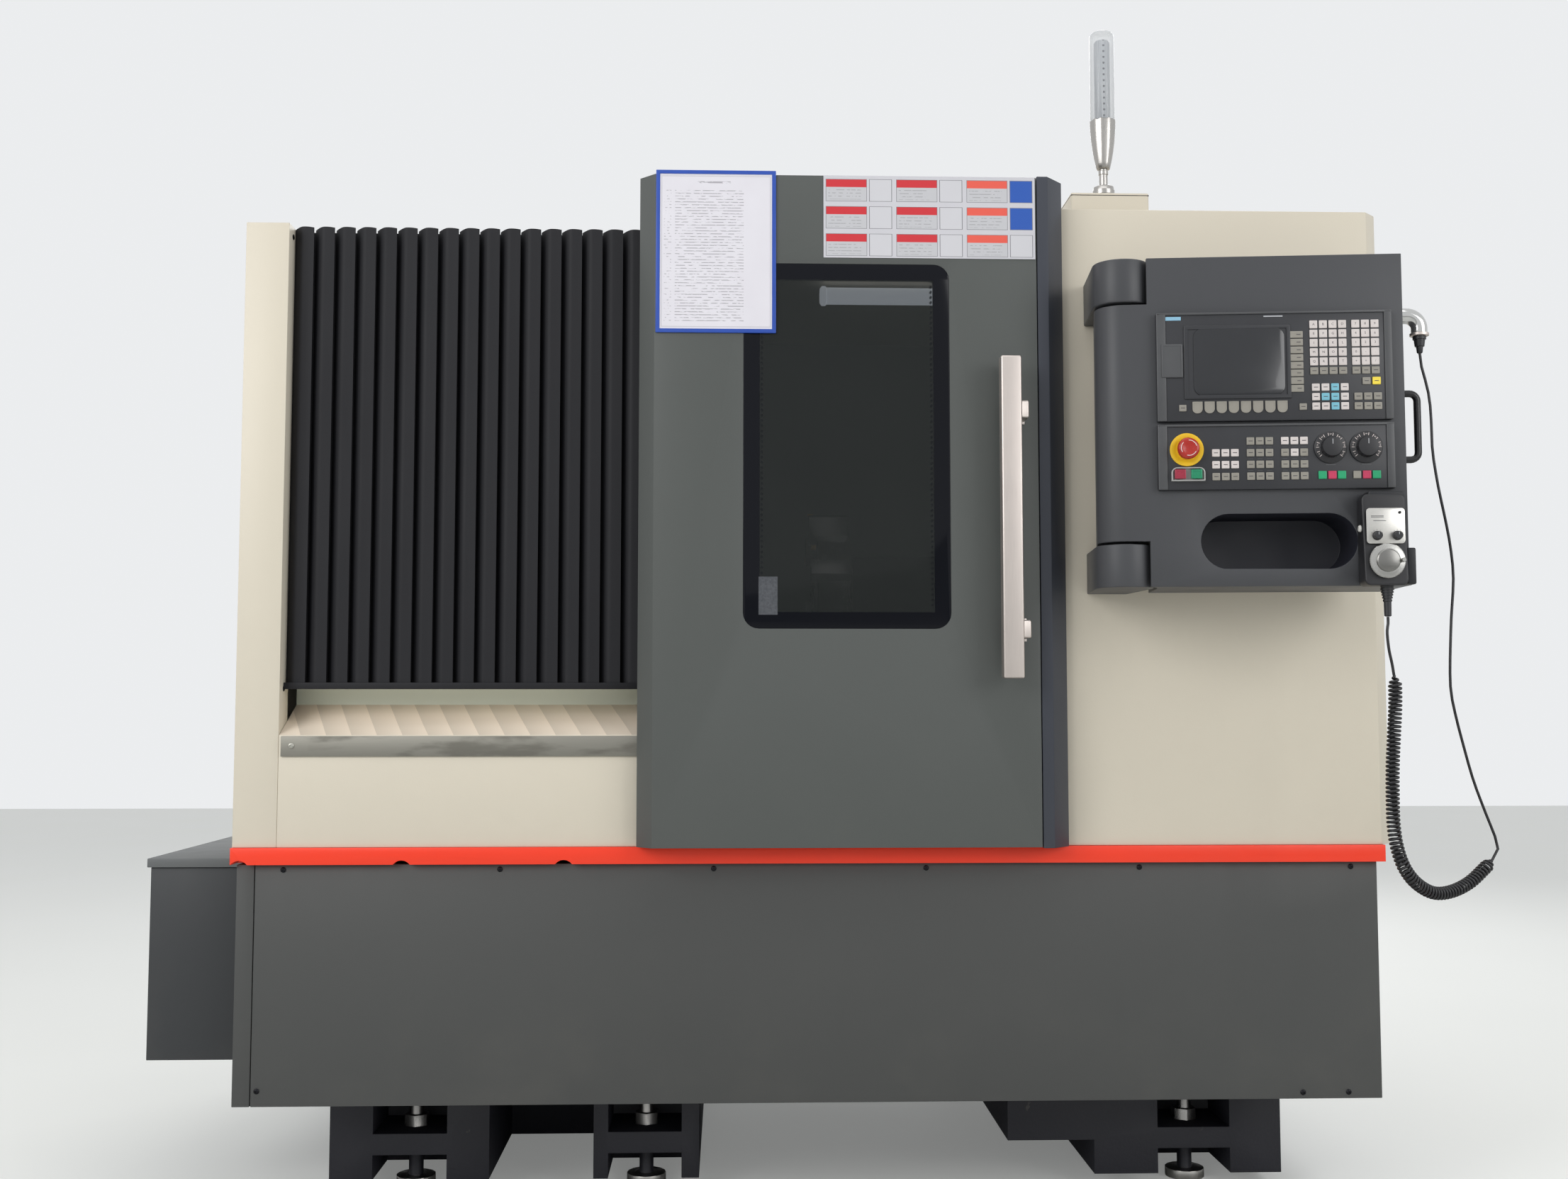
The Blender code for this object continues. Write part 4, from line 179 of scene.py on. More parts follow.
def moulded(name, rgb, roughness=0.45, grain=0.0012, depth=0.00004):
    """Moulded plastic or rubber: a fine sparked grain, a little uneven in tone and gloss."""
    made = Finish(name)
    patches = made.spots(0.05, 3.0)
    skin = made.spots(grain, 2.0)
    made.take({"Base Color": made.mix(patches, tone(*rgb, 0.88), tone(*rgb, 1.12)),
               "Roughness": roughness + 0.12 * (patches - 0.5) + 0.06 * skin})
    made.bump(skin, depth)
    return made


MACHINE = Vector((0.09075, -0.57302, 0.0))
PANEL = Matrix.Translation((0.65675, -0.72102, 0.0)) @ Matrix.Rotation(math.radians(-6), 4, "Z")


def from_machine(points):
    """Points measured from the floor under the middle of the covers' front, as points of the frame."""
    return [Vector(point) + MACHINE for point in points]


def from_panel(x, y, z):
    """A point measured from the control box's hinge pin, with the box turned out by 6 degrees."""
    return PANEL @ Vector((x, y, z))


def through(points, count):
    """That many evenly spaced points on a smooth line through the given ones."""
    ends = [2 * points[0] - points[1]] + points + [2 * points[-1] - points[-2]]
    fine = []
    for a, b, c, d in zip(ends, ends[1:], ends[2:], ends[3:]):
        for step in range(24):
            t = step / 24
            fine.append(0.5 * (2 * b + (c - a) * t + (2 * a - 5 * b + 4 * c - d) * t * t
                               + (3 * b - a - 3 * c + d) * t * t * t))
    fine.append(points[-1])
    reach = [0.0]
    for a, b in zip(fine, fine[1:]):
        reach.append(reach[-1] + (b - a).length)
    even = []
    place = 0
    for index in range(count):
        goal = reach[-1] * index / (count - 1)
        while place < len(fine) - 2 and reach[place + 1] < goal:
            place += 1
        share = (goal - reach[place]) / (reach[place + 1] - reach[place])
        even.append(fine[place].lerp(fine[place + 1], share))
    return even


CORD = 0.005
WINDING = 0.00975
TURN_PITCH = 0.0075
TURN_POINTS = 14
TAPER_TURNS = 2.5
coil_line = through(from_machine((
    (1.0147, -0.26795, 1.0307), (1.0166, -0.2672, 1.0120), (1.0160, -0.2670, 0.9730),
    (1.0110, -0.2700, 0.9210), (1.0070, -0.2710, 0.8690), (1.0050, -0.2725, 0.8170),
    (1.0055, -0.2720, 0.7680), (1.0120, -0.2690, 0.7270), (1.0270, -0.2620, 0.6910),
    (1.0530, -0.2480, 0.6630), (1.0900, -0.2300, 0.6440), (1.1310, -0.2090, 0.6430),
    (1.1750, -0.1870, 0.6560), (1.2120, -0.1690, 0.6790), (1.2330, -0.1588, 0.6950))), 1600)
lower_lead = through(
    [from_panel(0.4495, -0.078, 1.1327), from_panel(0.4495, -0.078, 1.121)]
    + from_machine(((1.0022, -0.2740, 1.1050), (1.0050, -0.2730, 1.0750), (1.0110, -0.2700, 1.0500)))
    + [coil_line[0]], 18)
upper_lead = through([coil_line[-1]] + from_machine((
    (1.2480, -0.1515, 0.7170), (1.2390, -0.1550, 0.7420), (1.2160, -0.1670, 0.7890),
    (1.1920, -0.1790, 0.8430), (1.1700, -0.1900, 0.9090), (1.1550, -0.1980, 0.9580),
    (1.1460, -0.2020, 1.0000), (1.1450, -0.2030, 1.0440), (1.1510, -0.2000, 1.1300),
    (1.1590, -0.1960, 1.2070), (1.1540, -0.1980, 1.2680), (1.1400, -0.2050, 1.3320),
    (1.1320, -0.2090, 1.3630), (1.1250, -0.2110, 1.4020), (1.1200, -0.2120, 1.4410),
    (1.1190, -0.2130, 1.4820), (1.1175, -0.2135, 1.5220), (1.1130, -0.2140, 1.5550),
    (1.1060, -0.2142, 1.5820))) + [from_panel(0.5385, -0.010, 1.607), from_panel(0.5385, -0.010, 1.6187)], 40)
coil_length = sum((b - a).length for a, b in zip(coil_line, coil_line[1:]))
turns = round(coil_length / TURN_PITCH)
side = Vector((0.0, 1.0, 0.0))
wound = []
for step in range(turns * TURN_POINTS + 1):
    reach = step / (turns * TURN_POINTS) * (len(coil_line) - 1)
    place = min(int(reach), len(coil_line) - 2)
    along = (coil_line[place + 1] - coil_line[place]).normalized()
    side = (side - along * side.dot(along)).normalized()
    angle = 2 * math.pi * step / TURN_POINTS
    ease = min(1.0, step / (TAPER_TURNS * TURN_POINTS), (turns - step / TURN_POINTS) / TAPER_TURNS)
    radius = WINDING * ease * ease * (3.0 - 2.0 * ease)
    out = side * math.cos(angle) + along.cross(side) * math.sin(angle)
    wound.append(coil_line[place].lerp(coil_line[place + 1], reach - place) + out * radius)
route = lower_lead[:-1] + wound + upper_lead[1:]
cord_line = bpy.data.curves.new("pendant_cord", "CURVE")
cord_line.dimensions = "3D"
cord_line.bevel_depth = CORD / 2
cord_line.bevel_resolution = 3
cord_line.use_fill_caps = True
spline = cord_line.splines.new("POLY")
spline.points.add(len(route) - 1)
for point, place in zip(spline.points, route):
    point.co = (*place, 1.0)
spline.use_smooth = True
pendant_cord = bpy.data.objects.new("pendant_cord", cord_line)
bpy.context.scene.collection.objects.link(pendant_cord)
cord_rubber = moulded("cord_polyurethane", (26, 26, 29), 0.38, 0.002, 0.00003)
cord_line.materials.append(cord_rubber.material)
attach(pendant_cord, "operator_box")
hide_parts("lead_lower", "coil_cord", "lead_upper")
CORD_LENGTH = sum((b - a).length for a, b in zip(route, route[1:]))


# Floor, sky and lamps of the studio: a pale floor that keeps the shadow, an even pale surround, a
# large soft lamp high on the left, a weaker one on the right, one overhead and one behind.
def alone(piece):
    """Selects this piece and nothing else."""
    bpy.ops.object.select_all(action="DESELECT")
    piece.select_set(True)
    bpy.context.view_layer.objects.active = piece


bpy.ops.object.select_all(action="DESELECT")
bpy.ops.mesh.primitive_plane_add(size=24.0)
floor = bpy.context.object
floor.name = "floor"
bpy.ops.object.mode_set(mode="EDIT")
bpy.ops.mesh.subdivide(number_cuts=3)
bpy.ops.object.mode_set(mode="OBJECT")
floor_coat = Finish("floor_coat", {"Emission Strength": 1.0})
floor_seen = floor_coat.node("ShaderNodeLightPath", {}, [])
floor_tones = floor_coat.mix(floor_coat.spots(0.6, 4.0), tone(228, 229, 226), tone(234, 235, 232))
floor_coat.take({"Base Color": floor_tones,
                 "Roughness": 0.55 + 0.1 * floor_coat.spots(0.3),
                 "Emission Color": floor_coat.mix(floor_seen, tone(0, 0, 0), tone(118, 119, 118))})
floor.data.materials.append(floor_coat.material)

sky = bpy.data.worlds.new("sky")
bpy.context.scene.world = sky
sky.use_nodes = True
sky_nodes = sky.node_tree.nodes
sky_links = sky.node_tree.links
SKY_LIGHT = 0.44
SKY_SEEN = 0.86
rays = sky_nodes.new("ShaderNodeLightPath")
seen = rays.outputs["Is Camera Ray"]
for ray in ("Is Transmission Ray", "Is Glossy Ray"):
    either = sky_nodes.new("ShaderNodeMath")
    either.operation = "MAXIMUM"
    sky_links.new(seen, either.inputs[0])
    sky_links.new(rays.outputs[ray], either.inputs[1])
    seen = either.outputs[0]
strength = sky_nodes.new("ShaderNodeMapRange")
sky_links.new(seen, strength.inputs[0])
strength.inputs[3].default_value = SKY_LIGHT
strength.inputs[4].default_value = SKY_SEEN
sky_links.new(strength.outputs[0], sky_nodes["Background"].inputs["Strength"])
sky_nodes["Background"].inputs["Color"].default_value = (0.97, 0.985, 1.0, 1.0)

for lamp_name, where, aim, size, watts in (
        ("lamp_left", (-3.4, -3.8, 3.0), (0.0, -0.2, 1.0), 2.6, 104.0),
        ("lamp_right", (3.4, -3.6, 2.4), (0.1, -0.2, 0.9), 2.2, 56.0),
        ("lamp_over", (0.2, -1.2, 4.8), (0.0, 0.0, 1.2), 3.0, 34.0),
        ("lamp_behind", (1.5, 4.6, 3.6), (0.0, 0.4, 1.1), 2.6, 80.0)):
    bpy.ops.object.select_all(action="DESELECT")
    bpy.ops.object.light_add(type="AREA", location=where)
    studio_lamp = bpy.context.object
    studio_lamp.name = lamp_name
    studio_lamp.rotation_euler = (Vector(aim) - Vector(where)).to_track_quat("-Z", "Y").to_euler()
    studio_lamp.data.size = size
    studio_lamp.data.energy = watts
bpy.context.scene.view_settings.view_transform = "Standard"


# Bed: a one-piece grey-iron casting under dark navy enamel, rough from the sand mould. It stands on
# six levelling feet: a turned pad, a threaded bolt and a hexagon nut of bare steel.
def fitted(piece, body, finishes, replaced=(), rounding=0.0, segments=2):
    """Rounds a modelled piece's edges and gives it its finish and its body."""
    alone(piece)
    if rounding:
        edges = piece.modifiers.new("edges", "BEVEL")
        edges.width = rounding
        edges.segments = segments
        edges.limit_method = "ANGLE"
        edges.angle_limit = math.radians(40)
        bpy.ops.object.modifier_apply(modifier="edges")
    bpy.ops.object.shade_smooth_by_angle(angle=math.radians(38))
    for finish in finishes:
        piece.data.materials.append(finish.material)
    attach(piece, body)
    if replaced:
        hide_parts(*replaced)
    return piece


def dressed(node, name, finishes, rounding=0.001, segments=2, which=None):
    """A merged copy of a CAD node with its edges rounded, in its place. which picks the finish of a face."""
    source = frame["nodes"][node]
    piece = bpy.data.objects.new(name, source.data.copy())
    bpy.context.scene.collection.objects.link(piece)
    piece.data.materials.clear()
    alone(piece)
    bpy.ops.object.mode_set(mode="EDIT")
    bpy.ops.mesh.select_all(action="SELECT")
    bpy.ops.mesh.remove_doubles(threshold=0.00002)
    bpy.ops.mesh.dissolve_limited(angle_limit=math.radians(0.3))
    bpy.ops.object.mode_set(mode="OBJECT")
    if piece.data.has_custom_normals:
        bpy.ops.mesh.customdata_custom_splitnormals_clear()
    for face in piece.data.polygons:
        face.material_index = which(face.center, face.normal) if which else 0
    return fitted(piece, source["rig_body"], finishes, [node], rounding, segments)


def cast(name, rgb, roughness=0.5):
    """Enamel over a sand casting: coarse pimples under a gloss that varies, with chips and oil."""
    made = Finish(name)
    coarse = made.spots(0.006, 4.0)
    patches = made.spots(0.18, 4.0)
    chips = made.spots(0.035, 5.0).rises(0.7, 0.74)
    enamel = made.mix(patches, tone(*rgb, 0.8), tone(*rgb, 1.18))
    made.take({"Base Color": made.mix(chips * 0.35, enamel, tone(96, 92, 86)),
               "Roughness": roughness + 0.25 * (patches - 0.5) + 0.1 * coarse})
    made.bump(coarse, 0.0006, 0.8)
    return made


def bright(name, rgb, roughness=0.28, lay=(60.0, 1.0, 1.0), grain=0.0006):
    """Bare metal, ground or brushed: fine lines along the lay, and a few dull patches."""
    made = Finish(name)
    lines = made.spots(grain, 3.0, lay)
    patches = made.spots(0.06, 3.0)
    made.take({"Base Color": made.mix(lines, tone(*rgb, 0.86), tone(*rgb, 1.08)),
               "Metallic": 1.0,
               "Roughness": roughness + 0.14 * (lines - 0.5) + 0.16 * (patches - 0.5)})
    made.bump(lines, 0.00003)
    return made


navy_casting = cast("navy_casting", (29, 29, 37))
machined_steel = bright("machined_steel", (176, 174, 170), 0.3, (1.0, 1.0, 12.0))
FEET = [(x, y) for x in (-0.71025, -0.23875, 0.87975) for y in (-0.24802, 0.65198)]


def foot_or_bed(middle, normal):
    """Bare steel on the pads, bolts and nuts of the feet, enamel on the rest."""
    near = any(math.hypot(middle.x - x, middle.y - y) < 0.0415 for x, y in FEET)
    return 1 if near and (middle.z < 0.0245 or 0.1172 < middle.z < 0.192) else 0


dressed("slant_bed", "bed_casting", [navy_casting, machined_steel], 0.003, 2, foot_or_bed)


# Skirts: folded sheet steel with a dark-grey powder coat. Black button-head screws hold them to the
# frame along the top and near the lower corners.
def powder(name, rgb, roughness=0.42, peel=0.0022, depth=0.0001, soil=0.1, low=0.25, high=1.2):
    """Powder coat on sheet steel: orange peel, cloudy tone, wiped streaks and dust low down."""
    made = Finish(name, {"Specular IOR Level": 0.32})
    skin = made.spots(peel, 2.0)
    clouds = made.spots(0.6, 4.0)
    streaks = made.spots(0.05, 4.0, (1.0, 1.0, 7.0))
    specks = made.spots(0.012, 2.0).rises(0.8, 0.84)
    z = made.axes()[2]
    coat = made.mix(clouds, tone(*rgb, 0.95), tone(*rgb, 1.05))
    dusty = made.spots(0.16, 5.0).rises(0.4, 0.85) * z.rises(high, low) * soil
    coat = made.mix(dusty, coat, tone(138, 132, 122))
    coat = made.mix(streaks.rises(0.55, 0.85) * (soil * 0.5), coat, tone(*rgb, 0.7))
    coat = made.mix(specks * (soil * 1.5), coat, tone(*rgb, 0.55))
    made.take({"Base Color": coat,
               "Roughness": roughness + 0.14 * (clouds - 0.5) + 0.12 * (streaks - 0.5) + 0.05 * skin})
    made.bump(skin, depth)
    return made


def settled(piece, name, matrix=None):
    """Names a piece and puts its place and turn into its mesh."""
    if matrix is not None:
        piece.matrix_world = matrix @ piece.matrix_world
    piece.name = name
    piece.data.name = name
    alone(piece)
    bpy.ops.object.transform_apply(location=True, rotation=True, scale=True)
    return piece


def pushed(value):
    """Extrudes what is selected by a vector along the world's axes."""
    bpy.ops.mesh.extrude_region_move(TRANSFORM_OT_translate={"value": value, "orient_type": "GLOBAL"})


def turned(name, steps, vertices=32, matrix=None):
    """A round piece: a disc pushed out and resized step by step. steps are (height, radius)."""
    bpy.ops.object.select_all(action="DESELECT")
    bpy.ops.mesh.primitive_circle_add(vertices=vertices, radius=steps[0][1], fill_type="NGON",
                                      location=(0.0, 0.0, steps[0][0]))
    piece = settled(bpy.context.object, name)
    bpy.ops.object.mode_set(mode="EDIT")
    bpy.ops.mesh.select_all(action="SELECT")
    for (height, radius), (new_height, new_radius) in zip(steps, steps[1:]):
        pushed((0.0, 0.0, new_height - height))
        share = new_radius / radius
        bpy.ops.transform.resize(value=(share, share, 1.0), center_override=(0.0, 0.0, new_height))
    bpy.ops.mesh.select_all(action="SELECT")
    bpy.ops.mesh.remove_doubles(threshold=0.000005)
    bpy.ops.mesh.normals_make_consistent(inside=False)
    bpy.ops.object.mode_set(mode="OBJECT")
    return settled(piece, name, matrix)


FACINGS = {"UP": (0.0, "X"), "DOWN": (math.pi, "X"), "FRONT": (math.pi / 2, "X"), "BACK": (-math.pi / 2, "X"),
           "RIGHT": (math.pi / 2, "Y"), "LEFT": (-math.pi / 2, "Y")}


def placed(x, y, z, facing="UP"):
    """A matrix that puts a piece made at the origin at a place, its top facing that way."""
    angle, axis = FACINGS[facing]
    return Matrix.Translation((x, y, z)) @ Matrix.Rotation(angle, 4, axis)


def joined(pieces, name):
    """Joins the pieces into the first one."""
    alone(pieces[0])
    for piece in pieces[1:]:
        piece.select_set(True)
    if len(pieces) > 1:
        bpy.ops.object.join()
    pieces[0].name = name
    return pieces[0]


def copied(first, name, matrices):
    """Copies of a piece made at the origin, each with its own mesh, joined into one piece."""
    copies = []
    for matrix in matrices:
        copy = bpy.data.objects.new(name, first.data.copy())
        bpy.context.scene.collection.objects.link(copy)
        copies.append(settled(copy, name, matrix))
    bpy.data.objects.remove(first)
    return joined(copies, name)


def pressed(piece, test, depth, inset):
    """Insets the faces that pass the test and moves them along their normal by depth."""
    alone(piece)
    bpy.ops.object.mode_set(mode="EDIT")
    bpy.ops.mesh.select_all(action="DESELECT")
    bpy.ops.mesh.select_mode(type="FACE")
    mesh = bmesh.from_edit_mesh(piece.data)
    for face in mesh.faces:
        if test(face.calc_center_median(), face.normal):
            face.select_set(True)
    bmesh.update_edit_mesh(piece.data)
    bpy.ops.mesh.inset(thickness=inset, depth=0.0, use_even_offset=True)
    if depth:
        mesh = bmesh.from_edit_mesh(piece.data)
        first = next(face for face in mesh.faces if face.select)
        pushed(first.normal * depth)
    bpy.ops.object.mode_set(mode="OBJECT")
    return piece


def button_screw(radius=0.0052, height=0.0026):
    """A button-head screw with a hexagon socket, its seat at the origin and its head up."""
    head = turned("screw", [(0.0, radius), (height * 0.35, radius), (height * 0.8, radius * 0.82),
                            (height, radius * 0.5)], 18)
    return pressed(head, lambda middle, normal: middle.z > height * 0.95, -height * 0.6, radius * 0.06)


skirt_grey = powder("skirt_grey", (76, 77, 76), 0.45, soil=0.1, low=0.1, high=0.6)
for node, name in (("front_skirt", "skirt_front"), ("left_skirt", "skirt_left"),
                   ("right_skirt", "skirt_right"), ("rear_skirt", "skirt_rear")):
    dressed(node, name, [skirt_grey], 0.0015)
screw_black = bright("screw_black", (42, 42, 45), 0.35, (1.0, 1.0, 1.0))
SKIRT_LEFT, SKIRT_RIGHT = -0.99625, 1.17675
SKIRT_FRONT, SKIRT_REAR = -0.56302, 0.87198


def screwed(name, places, body="machine", screw=None, finish=None):
    """Copies of a button-head screw, or of another small turned fitting, at these places."""
    fitted(copied(screw or button_screw(), name, places), body, [finish or screw_black])


screwed("skirt_screws", [placed(x, SKIRT_FRONT, z, "FRONT") for x, z in (
    (-0.90925, 0.667), (-0.50325, 0.667), (-0.09925, 0.667), (0.30575, 0.667), (0.71575, 0.667),
    (1.12575, 0.667), (-0.95025, 0.258), (1.02375, 0.241), (1.11175, 0.241))])
screwed("side_skirt_screws", [
    placed(x, y, z, facing) for x, facing in ((SKIRT_LEFT, "LEFT"), (SKIRT_RIGHT, "RIGHT"))
    for y in (-0.49, -0.05, 0.35, 0.79) for z in (0.246, 0.62)
    if facing == "RIGHT" or not -0.41 < y < 0.21])
screwed("rear_skirt_screws", [
    placed(x, SKIRT_REAR, z, "BACK") for x in (-0.9, -0.4, 0.1, 0.6, 1.1) for z in (0.246, 0.655)])


# Belt: a strip of sheet steel in signal red that wraps the front edge between skirts and covers.
# Small half-round notches in its lower edge give access to the screws behind it.
belt_red = powder("belt_red", (250, 66, 40), 0.3, soil=0.05)
dressed("red_trim", "red_belt", [belt_red], 0.0008)


# Covers: folded sheet steel with a cream textured powder coat. The left end is one tall folded
# column; the sill under the pleats is smooth and carries slanted stripes, a painted reflection of the pleats.
def bar(name, low, high, rounding=0.001, segments=2, matrix=None):
    """A block between two corners with all its edges bevelled."""
    low = Vector(low)
    high = Vector(high)
    bpy.ops.object.select_all(action="DESELECT")
    bpy.ops.mesh.primitive_cube_add(size=1.0, location=(low + high) / 2, scale=high - low)
    piece = settled(bpy.context.object, name)
    if rounding:
        bpy.ops.object.mode_set(mode="EDIT")
        bpy.ops.mesh.select_all(action="SELECT")
        bpy.ops.mesh.bevel(offset=rounding, segments=segments, affect="EDGES", clamp_overlap=True)
        bpy.ops.object.mode_set(mode="OBJECT")
    return settled(piece, name, matrix)


cream = powder("cream_coat", (217, 209, 192), 0.36, soil=0.08)
sill_gloss = Finish("sill_gloss", {"Coat Weight": 0.5, "Coat Roughness": 0.08})
sill_clouds = sill_gloss.spots(0.4, 3.0)
sill_x, sill_y = sill_gloss.axes()[:2]
# Painted reflection: slanted light and dark stripes stand in for the pleats mirrored in the glossy sill.
PLEAT_REFLECTION_PITCH = 0.048
painted_pleat_reflection = 1 - ((sill_x + 0.4 * sill_y + 0.01 * sill_clouds) % PLEAT_REFLECTION_PITCH) * (1 / PLEAT_REFLECTION_PITCH)
sill_gloss.take({"Base Color": sill_gloss.mix(painted_pleat_reflection, tone(240, 226, 208), tone(214, 202, 186)),
                 "Roughness": 0.1 + 0.08 * sill_gloss.spots(0.12, 4.0)})
sill_gloss.bump(sill_gloss.spots(0.0022), 0.00002)
for node, name in (("left_end_cover", "cover_left"), ("rear_panel", "cover_rear"),
                   ("roof_panel", "cover_roof"), ("right_front_panel", "cover_right")):
    dressed(node, name, [cream], 0.0015)
# Painted shade: the fold behind the sill gets a greener tint that stands in for the greenish cast it shows in
# shade.
sill_back_painted_shade = powder("sill_back_painted_shade", (226, 232, 217), 0.35, soil=0.05)


def sill_part(middle, normal):
    """Gloss on the sill, a greener tint of painted shade on the fold behind it, cream on the rest."""
    if normal.z > 0.5 and middle.z < 0.985 and middle.y < -0.45:
        return 1
    return 2 if normal.y < -0.5 and middle.z > 0.975 and middle.y > -0.57 else 0


sill_finishes = [cream, sill_gloss, sill_back_painted_shade]
dressed("lower_front_panel", "sill_panel", sill_finishes, 0.0012, 2, sill_part)
COVER_LEFT = -1.00325
COVER_REAR = 0.87698
ROOF = 1.9
screwed("column_screws", [placed(-0.92075, -0.5455, z, "RIGHT") for z in (1.008, 1.885)],
        screw=button_screw(0.0055, 0.002))
screwed("cover_screws",
        [placed(COVER_LEFT, y, z, "LEFT") for y in (-0.5, -0.03, 0.36, 0.8) for z in (0.75, 1.86)]
        + [placed(x, COVER_REAR, z, "BACK") for x in (-0.95, -0.5, -0.05, 0.4, 0.83) for z in (0.75, 1.87)]
        + [placed(COVER_LEFT, y, 1.3, "LEFT") for y in (-0.5, 0.8)]
        + [placed(x, COVER_REAR, 1.31, "BACK") for x in (-0.95, 0.83)]
        + [placed(x, y, ROOF) for x in (-0.95, -0.35, 0.25, 0.8) for y in (-0.4, 0.2, 0.82)])

HATCH_LEFT = -1.0048
hatch = bar("left_hatch", (HATCH_LEFT, -0.3, 0.84), (HATCH_LEFT + 0.0014, 0.3, 1.6), 0.0006, 1)
pressed(hatch, lambda middle, normal: normal.x < -0.9, -0.0005, 0.012)
fitted(hatch, "machine", [cream])
screwed("hatch_latches",
        [placed(HATCH_LEFT + 0.0003, y, z, "LEFT") for y in (-0.27, 0.27) for z in (0.9, 1.54)],
        screw=turned("latch", [(0.0, 0.013), (0.002, 0.013), (0.0035, 0.0115), (0.0036, 0.006),
                               (0.0022, 0.0055)], 24))


# Pleated guard: charcoal coated steel strips that lap like a curtain; each is flat with a sharp
# right edge, rounds back on its left, and has a slightly crowned top.
PLEAT = 0.04
PLEATS_LEFT, PLEATS_RIGHT = -0.92045, -0.2015
PLEAT_FRONT = -0.54482
ROUND_SHARE = 0.46
pleat_coat = powder("pleat_coat", (22, 22, 26), 0.62, peel=0.0016, depth=0.00005, soil=0.05)
bpy.ops.object.select_all(action="DESELECT")
bpy.ops.mesh.primitive_grid_add(x_subdivisions=14, y_subdivisions=6, size=1.0)
pleats = settled(bpy.context.object, "pleats", Matrix.Translation((PLEATS_LEFT + PLEAT / 2, -0.54, 1.4615))
                 @ Matrix.Rotation(math.pi / 2, 4, "X") @ Matrix.Diagonal((PLEAT, 0.8865, 1.0, 1.0)))
for vertex in pleats.data.vertices:
    share = (vertex.co.x - PLEATS_LEFT) / PLEAT
    rounding = max(0.0, 1.0 - share / ROUND_SHARE)
    vertex.co.y = PLEAT_FRONT + 0.0013 * (1.0 - share) + 0.0165 * rounding ** 1.35
    if vertex.co.z > 1.85:
        vertex.co.z += 0.0019 - 0.0026 * (2.0 * abs(share - 0.55)) ** 2
alone(pleats)
row = pleats.modifiers.new("row", "ARRAY")
row.count = 18
row.use_relative_offset = False
row.use_constant_offset = True
row.constant_offset_displace = (PLEAT, 0.0, 0.0)
bpy.ops.object.modifier_apply(modifier="row")
sheet = pleats.modifiers.new("sheet", "SOLIDIFY")
sheet.thickness = 0.0015
sheet.offset = 1.0
bpy.ops.object.modifier_apply(modifier="sheet")
fitted(pleats, "machine", [pleat_coat], ["pleated_panel"])
BACKING_LEFT = PLEATS_LEFT + 0.00005
pleat_back = bar("pleat_backing", (BACKING_LEFT, -0.5262, 1.0175), (PLEATS_RIGHT, -0.5135, 1.9), 0.0005, 1)
fitted(pleat_back, "machine", [pleat_coat])
pleat_hem = bar("pleat_hem", (BACKING_LEFT, -0.5488, 1.007), (PLEATS_RIGHT, -0.544, 1.0196), 0.0008, 2)
fitted(pleat_hem, "machine", [pleat_coat])


# Wear strip, track and jamb: a brushed stainless strip under the door, screwed at both ends;
# the dark channel that the door hangs from; and the bluish jamb post that the door closes on.
stainless = bright("stainless_strip", (172, 171, 162), 0.38, (80.0, 1.0, 1.0), 0.0005)
strip_metal = Finish("strip_metal", {"Metallic": 1.0})
strip_lines = strip_metal.spots(0.0005, 3.0, (90.0, 1.0, 1.0))
strip_stain = strip_metal.spots(0.09, 5.0, (1.8, 1.0, 0.5)).rises(0.53, 0.66)
strip_tones = strip_metal.mix(strip_lines, tone(128, 126, 118), tone(144, 142, 134))
strip_metal.take({"Base Color": strip_metal.mix(strip_stain * 0.32, strip_tones, tone(88, 85, 78)),
                  "Roughness": 0.5 + 0.12 * strip_lines + 0.15 * strip_stain})
dressed("door_wear_strip", "wear_strip", [strip_metal], 0.0004)
STRIP_FRONT = -0.57702
screwed("strip_screws", [placed(x, STRIP_FRONT, 0.9, "FRONT") for x in (-0.896, 0.495)],
        screw=button_screw(0.0055, 0.0022), finish=stainless)
jamb_coat = powder("jamb_coat", (62, 65, 73), 0.4, soil=0.05)
dressed("door_jamb", "jamb_post", [jamb_coat], 0.0015)
dressed("door_track", "track_channel", [jamb_coat], 0.0008)


# Sliding door: a folded steel panel with bevelled sides under a grey textured coat. Its window is a
# flush laminated pane with a black printed border whose inner edge breaks up into dots.
door_coat = powder("door_coat", (86, 89, 87), 0.4, soil=0.05)
dressed("door_panel", "door_leaf", [door_coat], 0.0015)
DOOR_FACE = -0.63332
pane = Finish("window_pane", {"Specular IOR Level": 0.18})
pane_x, pane_z = pane.axes()[::2]
BORDER = 0.031
PANE_MIDDLE, PANE_HALF = 0.1515, 0.19645
PANE_BOTTOM, PANE_TOP = 1.1203, 1.8177
DOT_PITCH = 0.01
clear_across = pane_x.inside(PANE_MIDDLE - PANE_HALF + BORDER, PANE_MIDDLE + PANE_HALF - BORDER)
frit = 1 - (clear_across * pane_z.inside(PANE_BOTTOM + BORDER, PANE_TOP - BORDER))
dot_x = abs((pane_x - PANE_MIDDLE)) - (PANE_HALF - BORDER - 0.004)
dot_row = abs((pane_z % DOT_PITCH) - DOT_PITCH / 2)
dots = (abs(dot_x) * abs(dot_x) + dot_row * dot_row).rises(0.0000075, 0.0000035) * pane_z.inside(1.16, 1.78)
dark = pane.node("ShaderNodeMath", {"operation": "MAXIMUM"}, [frit, dots * 0.75])
tint_clouds = pane.spots(0.3, 3.0)
pane_tint = pane.mix(tint_clouds, tone(40, 43, 43), tone(50, 53, 52))
